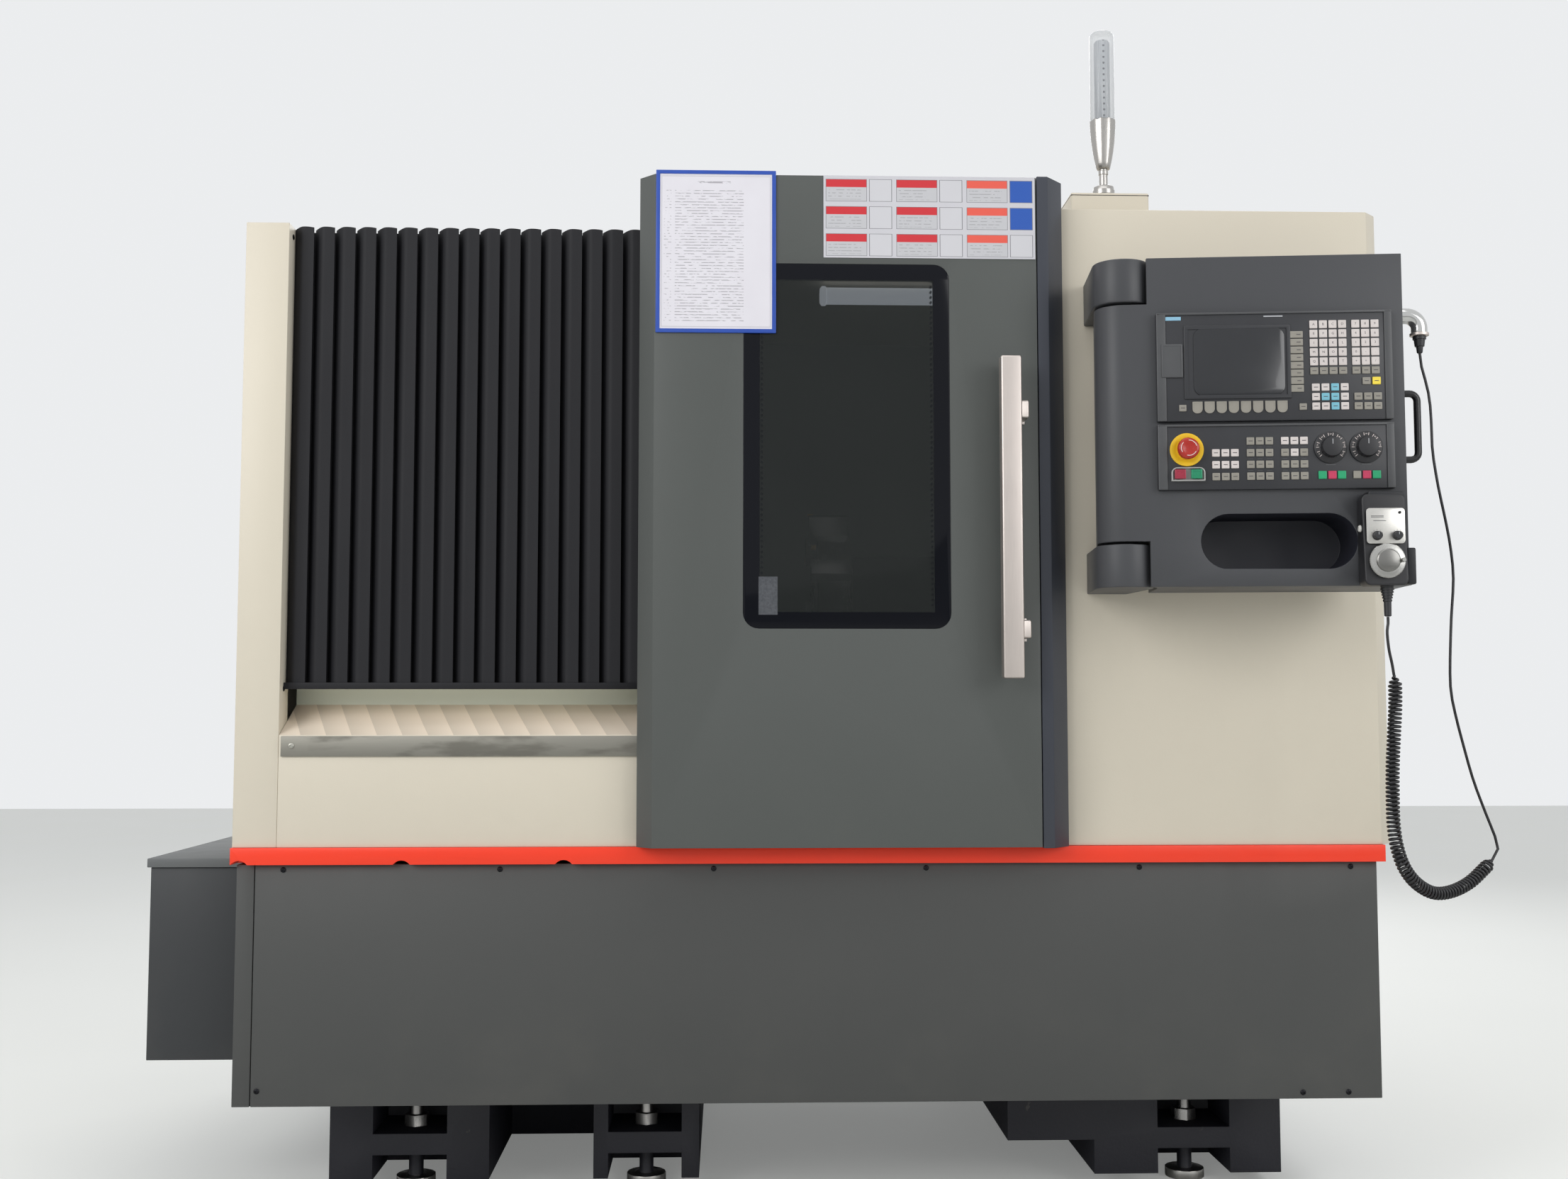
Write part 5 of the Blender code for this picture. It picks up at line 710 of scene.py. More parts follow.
pane.take({"Base Color": pane.mix(dark, pane_tint, tone(9, 11, 19)),
           "Roughness": 0.045 + 0.03 * tint_clouds,
           "Alpha": 0.55 + 0.45 * dark})
dressed("window_glass", "window_pane", [pane], 0.0006)
FILM_FRONT, FILM_BACK = DOOR_FACE - 0.00005, DOOR_FACE + 0.0002
sticker = bar("pane_sticker", (-0.0159, FILM_FRONT, 1.146), (0.02, FILM_BACK, 1.218), 0.0001, 1)
silver_film = Finish("silver_film", {"Metallic": 1.0})
film_tones = silver_film.mix(silver_film.spots(0.004), tone(74, 76, 80), tone(112, 114, 118))
silver_film.take({"Base Color": film_tones,
                  "Roughness": 0.25 + 0.2 * silver_film.spots(0.003)})
fitted(sticker, "door", [silver_film])


# Door pull: an extruded aluminium bar, satin anodised, with milled chamfers along its edges; two
# short square arms bolt it to the door.
pull_metal = bright("pull_metal", (204, 195, 189), 0.45, (1.0, 1.0, 80.0))
dressed("door_handle", "door_pull", [pull_metal], 0.0035, 3)
screwed("pull_plates", [placed(0.4795, DOOR_FACE - 0.0009, z) for z in (1.118, 1.5315)],
        "door", bar("plate", (-0.011, -0.0015, -0.022), (0.011, 0.0015, 0.022), 0.0012, 2),
        pull_metal)


# Document holder on the door: a blue moulded frame with a rolled lip around a printed sheet under a
# clear cover. The sheet carries plain grey lines and a thin border.
frame_blue = moulded("holder_blue", (40, 78, 172), 0.33)
HOLDER_FRONT = DOOR_FACE - 0.004
holder = bar("document_holder", (-0.21225, HOLDER_FRONT, 1.682), (0.01675, DOOR_FACE, 1.997), 0.0012, 2)
pressed(holder, lambda middle, normal: normal.y < -0.99, 0.0, 0.0055)
pressed(holder, lambda middle, normal: normal.y < -0.99 and -0.18775 < middle.x < -0.00775
        and 1.7195 < middle.z < 1.9595, -0.0016, 0.0008)
fitted(holder, "door", [frame_blue], ["document_frame"])
paper = Finish("printed_sheet", {"Coat Weight": 0.35, "Coat Roughness": 0.12})
paper_x, paper_z = paper.axes()[::2]
LINE_PITCH = 0.0056
line = abs((paper_z % LINE_PITCH) - LINE_PITCH / 2).rises(0.0011, 0.0005)
broken = paper.spots(0.01, 3.0, (1.0, 1.0, 0.25)).rises(0.46, 0.5)
text_height = paper_z.inside(1.703, 1.958)
words = line * broken * paper_x.inside(-0.176, -0.045) * text_height
numbers = line * paper.spots(0.006, 3.0).rises(0.52, 0.56) * paper_x.inside(-0.197, -0.183) * text_height
title = abs(paper_z - 1.9735).rises(0.0022, 0.0014) * paper_x.inside(-0.135, -0.07) * broken
edge = (1 - paper_x.inside(-0.2005, 0.005, 0.0002) * paper_z.inside(1.6945, 1.9845, 0.0002)) * \
    paper_x.inside(-0.202, 0.0065, 0.0002) * paper_z.inside(1.693, 1.986, 0.0002)
marks = paper.node("ShaderNodeMath", {"operation": "MAXIMUM"}, [words + numbers * 0.8 + title, edge * 0.5])
creases = paper.spots(0.08, 3.0)
paper_tones = paper.mix(creases, tone(222, 219, 226), tone(231, 229, 235))
paper.take({"Base Color": paper.mix(marks * 0.62, paper_tones, tone(120, 116, 124)),
            "Roughness": 0.35 + 0.15 * creases})
SHEET_FRONT, SHEET_BACK = HOLDER_FRONT + 0.00122, HOLDER_FRONT + 0.00164
document = bar("document_sheet", (-0.2052, SHEET_FRONT, 1.6892), (0.0097, SHEET_BACK, 1.9898), 0.0001, 1)
fitted(document, "door", [paper])


# Instruction plate: a thin printed aluminium plate at the top of the door. It carries plain blocks in
# three columns, each a field with a coloured bar beside a bare square, and no words or symbols.
plate = Finish("printed_plate", {"Coat Weight": 0.3, "Coat Roughness": 0.1})
PLATE_LEFT, PLATE_TOP = 0.10775, 1.99
COLUMN_PITCH, ROW_PITCH = 0.1355, 0.0532
plate_x, plate_z = plate.axes()[::2]
across = plate_x - PLATE_LEFT
down = PLATE_TOP - plate_z
column = across % COLUMN_PITCH
row_place = down % ROW_PITCH
field = column.inside(0.005, 0.0825) * row_place.inside(0.0075, 0.0495)
field_edge = column.inside(0.0043, 0.0832) * row_place.inside(0.0068, 0.0502) - field
bar_mask = column.inside(0.005, 0.0825) * row_place.inside(0.0075, 0.0225)
square = column.inside(0.0885, 0.1305) * row_place.inside(0.0075, 0.0495)
square_edge = column.inside(0.0875, 0.1315) * row_place.inside(0.0068, 0.0502) - square
third = across.rises(0.2705, 0.2712)
blue_square = square * third * down.rises(0.1064, 0.106)
TEXT_PITCH = 0.0062
text_lines = abs((row_place % TEXT_PITCH) - TEXT_PITCH / 2).rises(0.001, 0.0006)
text_rows = text_lines * column.inside(0.009, 0.072) * \
    row_place.inside(0.0255, 0.0465) * plate.spots(0.006, 2.0).rises(0.44, 0.5)
bar_colour = plate.mix(third, tone(206, 42, 52), tone(232, 92, 76))
base = plate.mix(plate.spots(0.15), tone(201, 200, 206), tone(210, 209, 214))
base = plate.mix(field, base, tone(197, 197, 201))
base = plate.mix(text_rows * 0.45, base, tone(120, 120, 124))
base = plate.mix(bar_mask, base, bar_colour)
base = plate.mix(square * 0.35, base, tone(214, 214, 217))
base = plate.mix(blue_square, base, tone(28, 84, 176))
base = plate.mix((field_edge + square_edge) * 0.9, base, tone(58, 60, 68))
plate.take({"Base Color": base, "Roughness": 0.3 + 0.1 * plate.spots(0.05)})
dressed("instruction_plate", "printed_plate", [plate], 0.0)


# Machining area: painted sheet chamber with a stainless chip tray, cast slides in navy enamel with
# ground ways, and a work light in an opal tube under the roof.
chamber_coat = powder("chamber_coat", (150, 154, 149), 0.38, soil=0.25, low=0.5, high=1.6)
dressed("chamber_liner", "chamber_walls", [chamber_coat], 0.0)
dressed("chip_pan", "chip_tray", [stainless], 0.0005)


def way_or_body(node):
    """Ground steel on the low faces of a slide that look up the slope, enamel on the rest."""
    low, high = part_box(node)
    slope = Vector((0.0, -0.70711, 0.70711))
    reach = high.z - 0.4 * (high.z - low.z)
    return lambda middle, normal: int(abs(normal.x) < 0.1 and normal.dot(slope) > 0.9 and middle.z < reach)


for node, name in (("headstock", "headstock_casting"), ("tailstock", "tail_casting")):
    dressed(node, name, [navy_casting], 0.002)
for node, name in (("saddle", "saddle_casting"), ("cross_slide", "slide_casting")):
    dressed(node, name, [navy_casting, machined_steel], 0.002, 2, way_or_body(node))
work_light = turned("work_light", [
    (0.0, 0.016), (0.004, 0.021), (0.012, 0.021), (0.014, 0.018), (0.466, 0.018), (0.468, 0.021),
    (0.476, 0.021), (0.48, 0.016)], 28, placed(0.12, -0.28, 1.845, "RIGHT"))
light_tube = moulded("light_tube", (226, 229, 232), 0.2)
light_tube.take({"Emission Color": tone(214, 222, 232), "Emission Strength": 0.9})
fitted(work_light, "machine", [light_tube])


# Spindle and chuck: turned and ground steel with three hardened jaws, each held by a socket screw;
# the chuck's face has a slot on each side of every jaw.
SPINDLE = Matrix.Translation((0.0, -0.09302, 1.06))
turned_steel = bright("turned_steel", (186, 185, 182), 0.24, (1.0, 14.0, 14.0), 0.0008)
jaw_steel = bright("jaw_steel", (128, 128, 130), 0.3, (1.0, 1.0, 1.0))
dressed("spindle_and_chuck", "chuck", [turned_steel], 0.0015, 3)
CHUCK_FACE = Matrix.Translation((-0.24425, 0.0, 0.0))


def spoke(angle):
    """A turn about the spindle's or the turret's axis."""
    return Matrix.Rotation(math.radians(angle), 4, "X")


screwed("chuck_slots", [
    SPINDLE @ CHUCK_FACE @ spoke(angle) @ placed(0.0, shift, 0.0)
    for angle in (60, 180, 300) for shift in (0.0, 0.0268)],
    "spindle", bar("slot", (-0.0006, -0.015, 0.034), (0.0006, -0.0118, 0.103), 0.0004, 1))
for index, turn in ((1, 0), (2, 120), (3, 240)):
    dressed(f"chuck_jaw_{index}", f"jaw_{index}_block", [jaw_steel], 0.001)
    jaw_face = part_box(f"chuck_jaw_{index}")[1].x - 0.0004
    screwed(f"jaw_{index}_screws", [SPINDLE @ spoke(turn) @ placed(jaw_face, 0.0, 0.044, "RIGHT")],
            f"jaw_{index}", button_screw(0.0065, 0.004))


# Turret and tailstock: an indexed steel disc with six bolted holders that carry coated inserts, and
# a hardened quill with a live centre in the tailstock.
dressed("turret_disc", "turret", [turned_steel], 0.0015, 3)
dressed("tailstock_quill", "quill_sleeve", [turned_steel], 0.0008)
TURRET = Matrix.Translation((0.0, 0.08376, 1.23678))
hub = turned("turret_hub", [(0.0, 0.062), (0.006, 0.062), (0.008, 0.058), (0.008, 0.04), (0.005, 0.036)], 48,
             TURRET @ placed(0.13075, 0.0, 0.0, "LEFT"))
fitted(hub, "turret", [machined_steel])
screwed("turret_screws",
        [TURRET @ spoke(angle) @ placed(0.1235, 0.0, 0.05, "LEFT") for angle in range(30, 360, 60)],
        "turret", button_screw(0.006, 0.004))
insert_gold = bright("insert_gold", (206, 164, 72), 0.3, (1.0, 1.0, 1.0))
screwed("cutting_inserts",
        [TURRET @ spoke(angle) @ placed(0.1165, 0.0, 0.1805) for angle in range(0, 360, 60)],
        "turret", bar("insert", (-0.006, -0.006, -0.002), (0.006, 0.006, 0.003), 0.0008, 2),
        insert_gold)


# Electrical cabinet: a welded cream shell with a hinged rear door, drives on a plate inside, and
# black filter grilles. The door has a grip along its edge and two quarter-turn latches.
rack_coat = powder("rack_coat", (196, 198, 196), 0.4, soil=0.05)
drive_coat = moulded("drive_plastic", (58, 60, 64), 0.42)
dressed("electrical_cabinet", "cabinet_shell", [cream], 0.0015)
dressed("rear_door", "cabinet_door_leaf", [cream], 0.0012)
rack_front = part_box("drive_rack")[0].y + 0.0105
dressed("drive_rack", "drives", [rack_coat, drive_coat], 0.0015, 2,
        lambda middle, normal: 1 if middle.y > rack_front else 0)
black_moulded = moulded("black_moulded", (33, 33, 36), 0.42)


def grille(name, width, slats):
    """A square filter grille at the origin, facing up: a frame with sloped slats over a dark mat."""
    half = width / 2
    border = bar(name, (-half, -half, 0.0), (half, half, 0.0045), 0.0015, 2)
    pressed(border, lambda middle, normal: normal.z > 0.9, -0.003, 0.012)
    inner = half - 0.013
    pitch = 2 * inner / slats
    slat = bar("slat", (-inner, -0.45 * pitch, -0.0004), (inner, 0.35 * pitch, 0.0006), 0.0003, 1)
    rows = copied(slat, name + "_slats", [
        Matrix.Translation((0.0, -inner + (number + 0.5) * pitch, 0.0028))
        @ Matrix.Rotation(math.radians(12), 4, "X") for number in range(slats)])
    return joined([border, rows], name)


CABINET_RIGHT = 1.2109
CABINET_DOOR = 0.8772
CABINET_TOP = 1.948
screwed("side_grilles", [
    placed(CABINET_RIGHT, 0.3, z, "RIGHT") @ Matrix.Rotation(-math.pi / 2, 4, "Z") for z in (0.9, 1.72)],
    screw=grille("grille", 0.2, 14), finish=black_moulded)
screwed("door_grilles", [placed(1.045, CABINET_DOOR, z, "BACK") for z in (0.92, 1.72)],
        "cabinet_door", grille("grille", 0.16, 11), finish=black_moulded)
latch = turned("latch", [
    (0.0, 0.014), (0.0022, 0.014), (0.004, 0.012), (0.0041, 0.007), (0.0024, 0.0062)], 24)
screwed("door_latches", [placed(0.905, CABINET_DOOR, z, "BACK") for z in (1.06, 1.56)],
        "cabinet_door", latch, stainless)
screwed("cabinet_screws",
        [placed(CABINET_RIGHT, y, z, "RIGHT") for y in (-0.5, 0.8) for z in (0.75, 1.33, 1.91)]
        + [placed(x, y, CABINET_TOP) for x in (0.92, 1.17) for y in (-0.45, 0.1, 0.78)])


# Side box: a dark power box on the left skirt with a lid that overhangs it, screws in its outer side,
# and nylon glands under it for the supply. The lid's light grey is a painted reflection of the lamps on a
# dark-grey top.
BOX_LEFT, BOX_BOTTOM = -1.22125, 0.2762
side_coat = powder("side_coat", (61, 63, 65), 0.42, soil=0.1, low=0.2, high=0.7)
dressed("side_box", "power_box", [side_coat], 0.0015)
# Painted reflection: the lid's light grey stands in for the lamps' sheen on its dark-grey top.
lid_painted_reflection_coat = powder("lid_painted_reflection_coat", (104, 107, 108), 0.4, soil=0.3, low=0.6, high=0.7)
dressed("side_box_lid", "power_box_lid", [lid_painted_reflection_coat], 0.0015)
gland = turned("gland", [(0.0, 0.016), (0.005, 0.016), (0.0055, 0.0135), (0.016, 0.0135), (0.02, 0.011),
                         (0.022, 0.008)], 24)
screwed("supply_glands", [placed(-1.11, y, BOX_BOTTOM, "DOWN") for y in (-0.22, -0.1, 0.02)],
        screw=gland, finish=black_moulded)
screwed("side_box_screws", [placed(BOX_LEFT, y, z, "LEFT") for y in (-0.34, 0.145) for z in (0.31, 0.62)])


# Signal lamp: a clear polycarbonate dome over a ribbed column of small lights, on an aluminium cup
# with a scalloped rim, a thin neck and a ringed foot. It stands on a cream box with a dark gasket.
lamp_box_body = bar("lamp_housing", (0.63075, -0.42302, 1.9003), (0.79175, -0.26202, 2.03), 0.003, 3)
fitted(lamp_box_body, "machine", [cream], ["lamp_box"])
gasket = bar("lamp_gasket", (0.6304, -0.4234, 2.0236), (0.7921, -0.2617, 2.0256), 0.0006, 1)
fitted(gasket, "machine", [black_moulded])


def fluted(piece, lobes, depth, above, below=9.0):
    """Presses lobes into a round piece at the origin, between two heights."""
    for vertex in piece.data.vertices:
        if above < vertex.co.z < below:
            wave = 1.0 + depth * math.cos(lobes * math.atan2(vertex.co.y, vertex.co.x))
            vertex.co.x *= wave
            vertex.co.y *= wave
    return piece


LAMP = Matrix.Translation((0.70975, -0.37302, 2.0303))
cup_metal = bright("cup_metal", (178, 175, 171), 0.3, (1.0, 1.0, 60.0))
LOBES = 10
foot_rings = [
    (0.0, 0.0222), (0.0008, 0.0228), (0.007, 0.0228), (0.0076, 0.0218), (0.0084, 0.0218),
    (0.009, 0.0228), (0.018, 0.0228), (0.019, 0.0218), (0.0255, 0.021), (0.027, 0.0185)]
neck = [(0.0275, 0.011), (0.029, 0.0088), (0.052, 0.0088), (0.053, 0.01), (0.06, 0.01),
        (0.061, 0.0088)]
cup = turned("lamp_cup", foot_rings + neck + [
    (0.064, 0.0088), (0.0645, 0.0128), (0.066, 0.014), (0.076, 0.0164), (0.09, 0.0193),
    (0.106, 0.022), (0.124, 0.0243), (0.144, 0.026), (0.16, 0.0268), (0.1675, 0.0268),
    (0.1683, 0.026)], 96)
fluted(cup, LOBES, 0.008, 0.064)
for vertex in cup.data.vertices:
    if vertex.co.z > 0.159:
        vertex.co.z -= 0.0012 * (1.0 - math.cos(LOBES * math.atan2(vertex.co.y, vertex.co.x)))
fitted(settled(cup, "lamp_cup", LAMP), "machine", [cup_metal], ["lamp_base"])
lens_clear = Finish("lens_clear", {"IOR": 1.45})
lens_haze = lens_clear.spots(0.0016, 2.0, (1.0, 1.0, 60.0))
lens_rim = lens_clear.node("ShaderNodeLayerWeight", {}, {"Blend": 0.42}, 1)
lens_clear.take({"Base Color": lens_clear.mix(lens_haze, tone(198, 203, 208), tone(232, 235, 237)),
                 "Roughness": 0.06 + 0.06 * lens_haze,
                 "Alpha": 0.16 + 0.14 * lens_haze + 0.62 * lens_rim * lens_rim})
lens = turned("lamp_dome", [
    (0.167, 0.0242), (0.169, 0.0252), (0.347, 0.0252), (0.352, 0.0243), (0.3556, 0.0218),
    (0.3575, 0.018), (0.3583, 0.012), (0.3583, 0.005)], 96, LAMP)
fitted(lens, "machine", [lens_clear], ["lamp_lens"])
LED_PITCH = 0.0125
led_white = Finish("led_column")
led_x, led_z = led_white.axes()[::2]
led_row = abs((led_z % LED_PITCH) - LED_PITCH / 2)
led_off = abs(led_x - LAMP.translation.x)
led_dots = (led_row * led_row + led_off * led_off).rises(0.000008, 0.0000035)
led_ribs = led_white.spots(0.002, 2.0, (1.0, 1.0, 40.0))
led_tones = led_white.mix(led_ribs, tone(150, 154, 160), tone(206, 209, 213))
led_white.take({"Base Color": led_white.mix(led_dots, led_tones, tone(84, 86, 92)),
                "Roughness": 0.25 + 0.1 * led_white.spots(0.01)})
led_column = turned("led_column", [(0.165, 0.015), (0.166, 0.0158), (0.335, 0.0158), (0.339, 0.014)], 72)
fluted(led_column, 18, 0.035, 0.1655, 0.337)
fitted(settled(led_column, "led_column", LAMP), "machine", [led_white])


# Control box: a folded anthracite case that swings between two cast caps on a pin. Its tray has a
# dark lining, and the units are set into its front.
panel_coat = powder("panel_coat", (72, 73, 76), 0.4, soil=0.04)
for node, name in (("hinge_cap_bottom", "cap_lower"), ("hinge_cap_top", "cap_upper")):
    dressed(node, name, [panel_coat], 0.003, 3)
tray_lining = moulded("tray_lining", (30, 31, 40), 0.5)
to_panel = PANEL.inverted()


def tray_or_case(middle, normal):
    """The lining's finish inside the tray, the case's on the rest."""
    spot = to_panel @ middle
    return 1 if 0.131 < spot.x < 0.41 and 1.221 < spot.z < 1.322 and -0.0485 < spot.y < 0.0705 else 0


dressed("control_box", "panel_case", [panel_coat, tray_lining], 0.0025, 3, tray_or_case)


# Operator units: two flat moulded fronts, one with a display and letter keys, one with mode keys.
# Each has a lighter wing at both ends, a rim on top whose lighter grey is a painted highlight along the top
# bevel, and dished keys in its field.
def cornered(piece, test, offset, segments):
    """Rounds the edges whose two ends pass the test."""
    alone(piece)
    bpy.ops.object.mode_set(mode="EDIT")
    bpy.ops.mesh.select_all(action="DESELECT")
    bpy.ops.mesh.select_mode(type="EDGE")
    mesh = bmesh.from_edit_mesh(piece.data)
    for edge in mesh.edges:
        if test(edge.verts[0].co, edge.verts[1].co):
            edge.select_set(True)
    bmesh.update_edit_mesh(piece.data)
    bpy.ops.mesh.bevel(offset=offset, segments=segments, affect="EDGES")
    bpy.ops.object.mode_set(mode="OBJECT")
    return piece


def in_front(middle, normal):
    """Whether a face looks forward."""
    return normal.y < -0.98


def goes_in(a, b):
    """Whether the edge between two points runs along y."""
    return abs(a.y - b.y) > 0.001 and abs(a.x - b.x) + abs(a.z - b.z) < 0.0001


def boxed(piece, finish, replaced=(), rounding=0.0, segments=2):
    """Fits a piece of one finish to the swinging box."""
    return fitted(piece, "operator_box", [finish], replaced, rounding, segments)


FACE = -0.0595
FIELD_LEFT = 0.055
UNIT_LEFT, UNIT_RIGHT = 0.0553, 0.4747
SCREEN_TOP = 1.6895
KEYS_TOP = 1.4842
unit_dark = moulded("unit_dark", (41, 42, 46), 0.4, 0.0009, 0.00003)
unit_wing = moulded("unit_wing", (74, 75, 77), 0.36, 0.0009, 0.00003)
key_light, key_grey, key_blue, key_yellow, key_green, key_pink = (
    moulded(name, rgb, roughness, 0.0008, 0.00002) for name, rgb, roughness in (
        ("key_light", (214, 206, 203), 0.38), ("key_grey", (146, 142, 133), 0.4),
        ("key_blue", (122, 186, 204), 0.38), ("key_yellow", (243, 218, 76), 0.38),
        ("key_green", (30, 160, 108), 0.38), ("key_pink", (194, 56, 92), 0.38)))
mark_ink = moulded("mark_ink", (66, 62, 66), 0.45, 0.0008, 0.0)


def unit_front(name, bottom, top, node):
    """The moulded front of a unit between two heights, with its wings and its rim proud of the field; the
    rim's lighter grey is a painted highlight.
    """
    front = bar(name, (UNIT_LEFT, FACE, bottom), (UNIT_RIGHT, -0.0493, top), 0.0022, 2)
    proud, back = FACE - 0.0022, FACE + 0.001
    for side, low, high in (("_wing_left", UNIT_LEFT, 0.0722), ("_wing_right", 0.4609, UNIT_RIGHT)):
        wing = bar(name + side, (low, proud, bottom + 0.0004), (high, back, top - 0.0004), 0.0016, 3, PANEL)
        boxed(wing, unit_wing)
    # Painted highlight: the rim takes the wings' lighter grey to stand in for light catching the unit's top
    # bevel.
    low, high = (UNIT_LEFT, proud, top - 0.0046), (UNIT_RIGHT, back, top - 0.0002)
    rim = bar(name + "_rim", low, high, 0.0014, 2, PANEL)
    boxed(rim, unit_wing)
    boxed(settled(front, name, PANEL), unit_dark, [node])


unit_front("screen_front", 1.4895, SCREEN_TOP, "screen_unit")
unit_front("key_front", 1.3645, KEYS_TOP, "key_unit")


def key(width, height, rise=0.0024, corner=0.0012):
    """A key at the origin, facing up: a block with rounded corners and a slightly dished top."""
    made = bar("key", (-width / 2, -height / 2, -0.0006), (width / 2, height / 2, rise), corner, 3)
    top = rise * 0.98
    return pressed(made, lambda middle, normal: normal.z > 0.98 and middle.z > top, -0.00025, width * 0.1)


def on_screen(left, drop):
    """A place on the screen unit, from the upper left corner of its field."""
    return PANEL @ placed(FIELD_LEFT + left, FACE, SCREEN_TOP - drop, "FRONT")


def on_keys(left, drop):
    """A place on the key unit, from the upper left corner of its field."""
    return PANEL @ placed(FIELD_LEFT + left, FACE, KEYS_TOP - drop, "FRONT")


def block(unit, left, drop, columns, rows, pitch_x=0.017, pitch_z=0.017):
    """Places of a block of keys, row by row; columns and rows are counts or lists of numbers."""
    across = range(columns) if isinstance(columns, int) else columns
    down = range(rows) if isinstance(rows, int) else rows
    return [unit(left + pitch_x * column, drop + pitch_z * row) for row in down for column in across]


def keys(name, first, places, finish):
    """Copies of a key, or of another small piece, at these places of the box."""
    boxed(copied(first, name, places), finish)


letters = block(on_screen, 0.281, 0.0255, 4, 5) + block(on_screen, 0.3554, 0.0255, 3, 5)
functions = block(on_screen, 0.281, 0.0255, 4, [5]) + block(on_screen, 0.3554, 0.0255, 3, [5])
paging = block(on_screen, 0.3578, 0.1579, 3, 2, 0.0172, 0.0176)
ends = [on_screen(0.0458, 0.1756), on_screen(0.26, 0.1756)]
keys("letter_keys", key(0.0142, 0.0146), letters, key_light)
keys("function_keys", key(0.0142, 0.0132), functions + [on_screen(0.3728, 0.1299)] + paging, key_grey)
keys("input_key", key(0.0146, 0.0138), [on_screen(0.3905, 0.1299)], key_yellow)
cursor = [(column, row) for row in range(3) for column in range(4)]
blue_ones = [(2, 0), (1, 1), (2, 1), (2, 2)]
for name, chosen, finish in (("cursor_keys", [c for c in cursor if c not in blue_ones], key_light),
                             ("arrow_keys", blue_ones, key_blue)):
    keys(name, key(0.0138, 0.0134),
         [on_screen(0.283 + 0.017 * column, 0.1405 + 0.0173 * row) for column, row in chosen], finish)
keys("side_soft_keys", key(0.026, 0.0126), block(on_screen, 0.249, 0.0436, 1, 8, 0.017, 0.0141), key_grey)
keys("end_keys", key(0.013, 0.012), ends, key_grey)
thumb_key = bar("key", (-0.0089, -0.0107, -0.0006), (0.0089, 0.0107, 0.0024), 0.0, 0)
cornered(thumb_key, lambda a, b: a.y < -0.01 and b.y < -0.01 and abs(a.z - b.z) > 0.001, 0.0082, 7)
pressed(thumb_key, lambda middle, normal: normal.z > 0.98, -0.0004, 0.002)
keys("lower_soft_keys", thumb_key, block(on_screen, 0.072, 0.1749, 8, 1, 0.0216), key_grey)
left_block = (on_keys, 0.1032, 0.0529, 3)
middle_block = (on_keys, 0.165, 0.0319, 3)
right_block = (on_keys, 0.226, 0.0319, 3)
keys("program_keys", key(0.0137, 0.0137), block(*left_block, 2, 0.0169, 0.0216) + [on_keys(0.243, 0.0532)]
     + block(*right_block, 1, 0.0169, 0.0213), key_light)
keys("mode_keys", key(0.0137, 0.0137), block(*left_block, [2], 0.0169, 0.0216)
     + block(*middle_block, 4, 0.0167, 0.0213) + block(*right_block, [2, 3], 0.0169, 0.0213)
     + [on_keys(0.226, 0.0532), on_keys(0.2598, 0.0532), on_keys(0.3524, 0.0948)], key_grey)
for name, lefts, finish in (("start_keys", (0.2914, 0.3256, 0.3868), key_green),
                            ("stop_keys", (0.3088, 0.3696), key_pink)):
    keys(name, key(0.0146, 0.0146), [on_keys(left, 0.0948) for left in lefts], finish)


# Legends of the keys: letters and figures in dark ink on the letter block, and short plain bars on
# the others. They are printed, so they stand only a hair proud.
def lettered(text, size, matrix):
    """Flat letters at the origin, as a mesh a tenth of a millimetre thick."""
    bpy.ops.object.select_all(action="DESELECT")
    bpy.ops.object.text_add(location=(0.0, 0.0, 0.0))
    words = bpy.context.object
    words.data.body = text
    words.data.size = size
    words.data.align_x = "CENTER"
    words.data.align_y = "CENTER"
    words.data.extrude = 0.00005
    words.data.resolution_u = 2
    bpy.ops.object.convert(target="MESH")
    return settled(bpy.context.object, "letters", matrix)


SKIN = Matrix.Translation((0.0, 0.0, 0.00222))
legend = [lettered(sign, 0.0062, place @ SKIN) for sign, place in
          zip("ABCDEFGHIJKLMNOPQRST7894561230-.+=/", letters)]
boxed(joined(legend, "key_letters"), mark_ink)
plain_bar = bar("mark", (-0.0036, -0.0006, 0.0), (0.0036, 0.0006, 0.00012), 0.0, 0)
bar_places = [place @ SKIN for place in
              functions + paging + block(on_screen, 0.3728, 0.1299, 2, 1, 0.0177)
              + block(on_screen, 0.283, 0.1405, 4, 3, 0.017, 0.0173)
              + block(on_screen, 0.254, 0.0436, 1, 8, 0.017, 0.0141) + ends
              + block(*left_block, 3, 0.0169, 0.0216) + block(*middle_block, 4, 0.0167, 0.0213)
              + block(*right_block, 4, 0.0169, 0.0213)]
keys("key_marks", plain_bar, bar_places, mark_ink)
panel_ink = moulded("panel_ink", (178, 180, 184), 0.45, 0.0008, 0.0)
thin_bar = bar("mark", (-0.0045, -0.0004, 0.0), (0.0045, 0.0004, 0.00012), 0.0, 0)
PROUD = Matrix.Translation((0.0, 0.0, 0.00002))
keys("panel_marks", thin_bar, [
    on_keys(left, drop) @ PROUD for left in (0.165, 0.1817, 0.1984, 0.226, 0.2429, 0.2598)
    for drop in (0.0427, 0.064, 0.0853)], unit_wing)


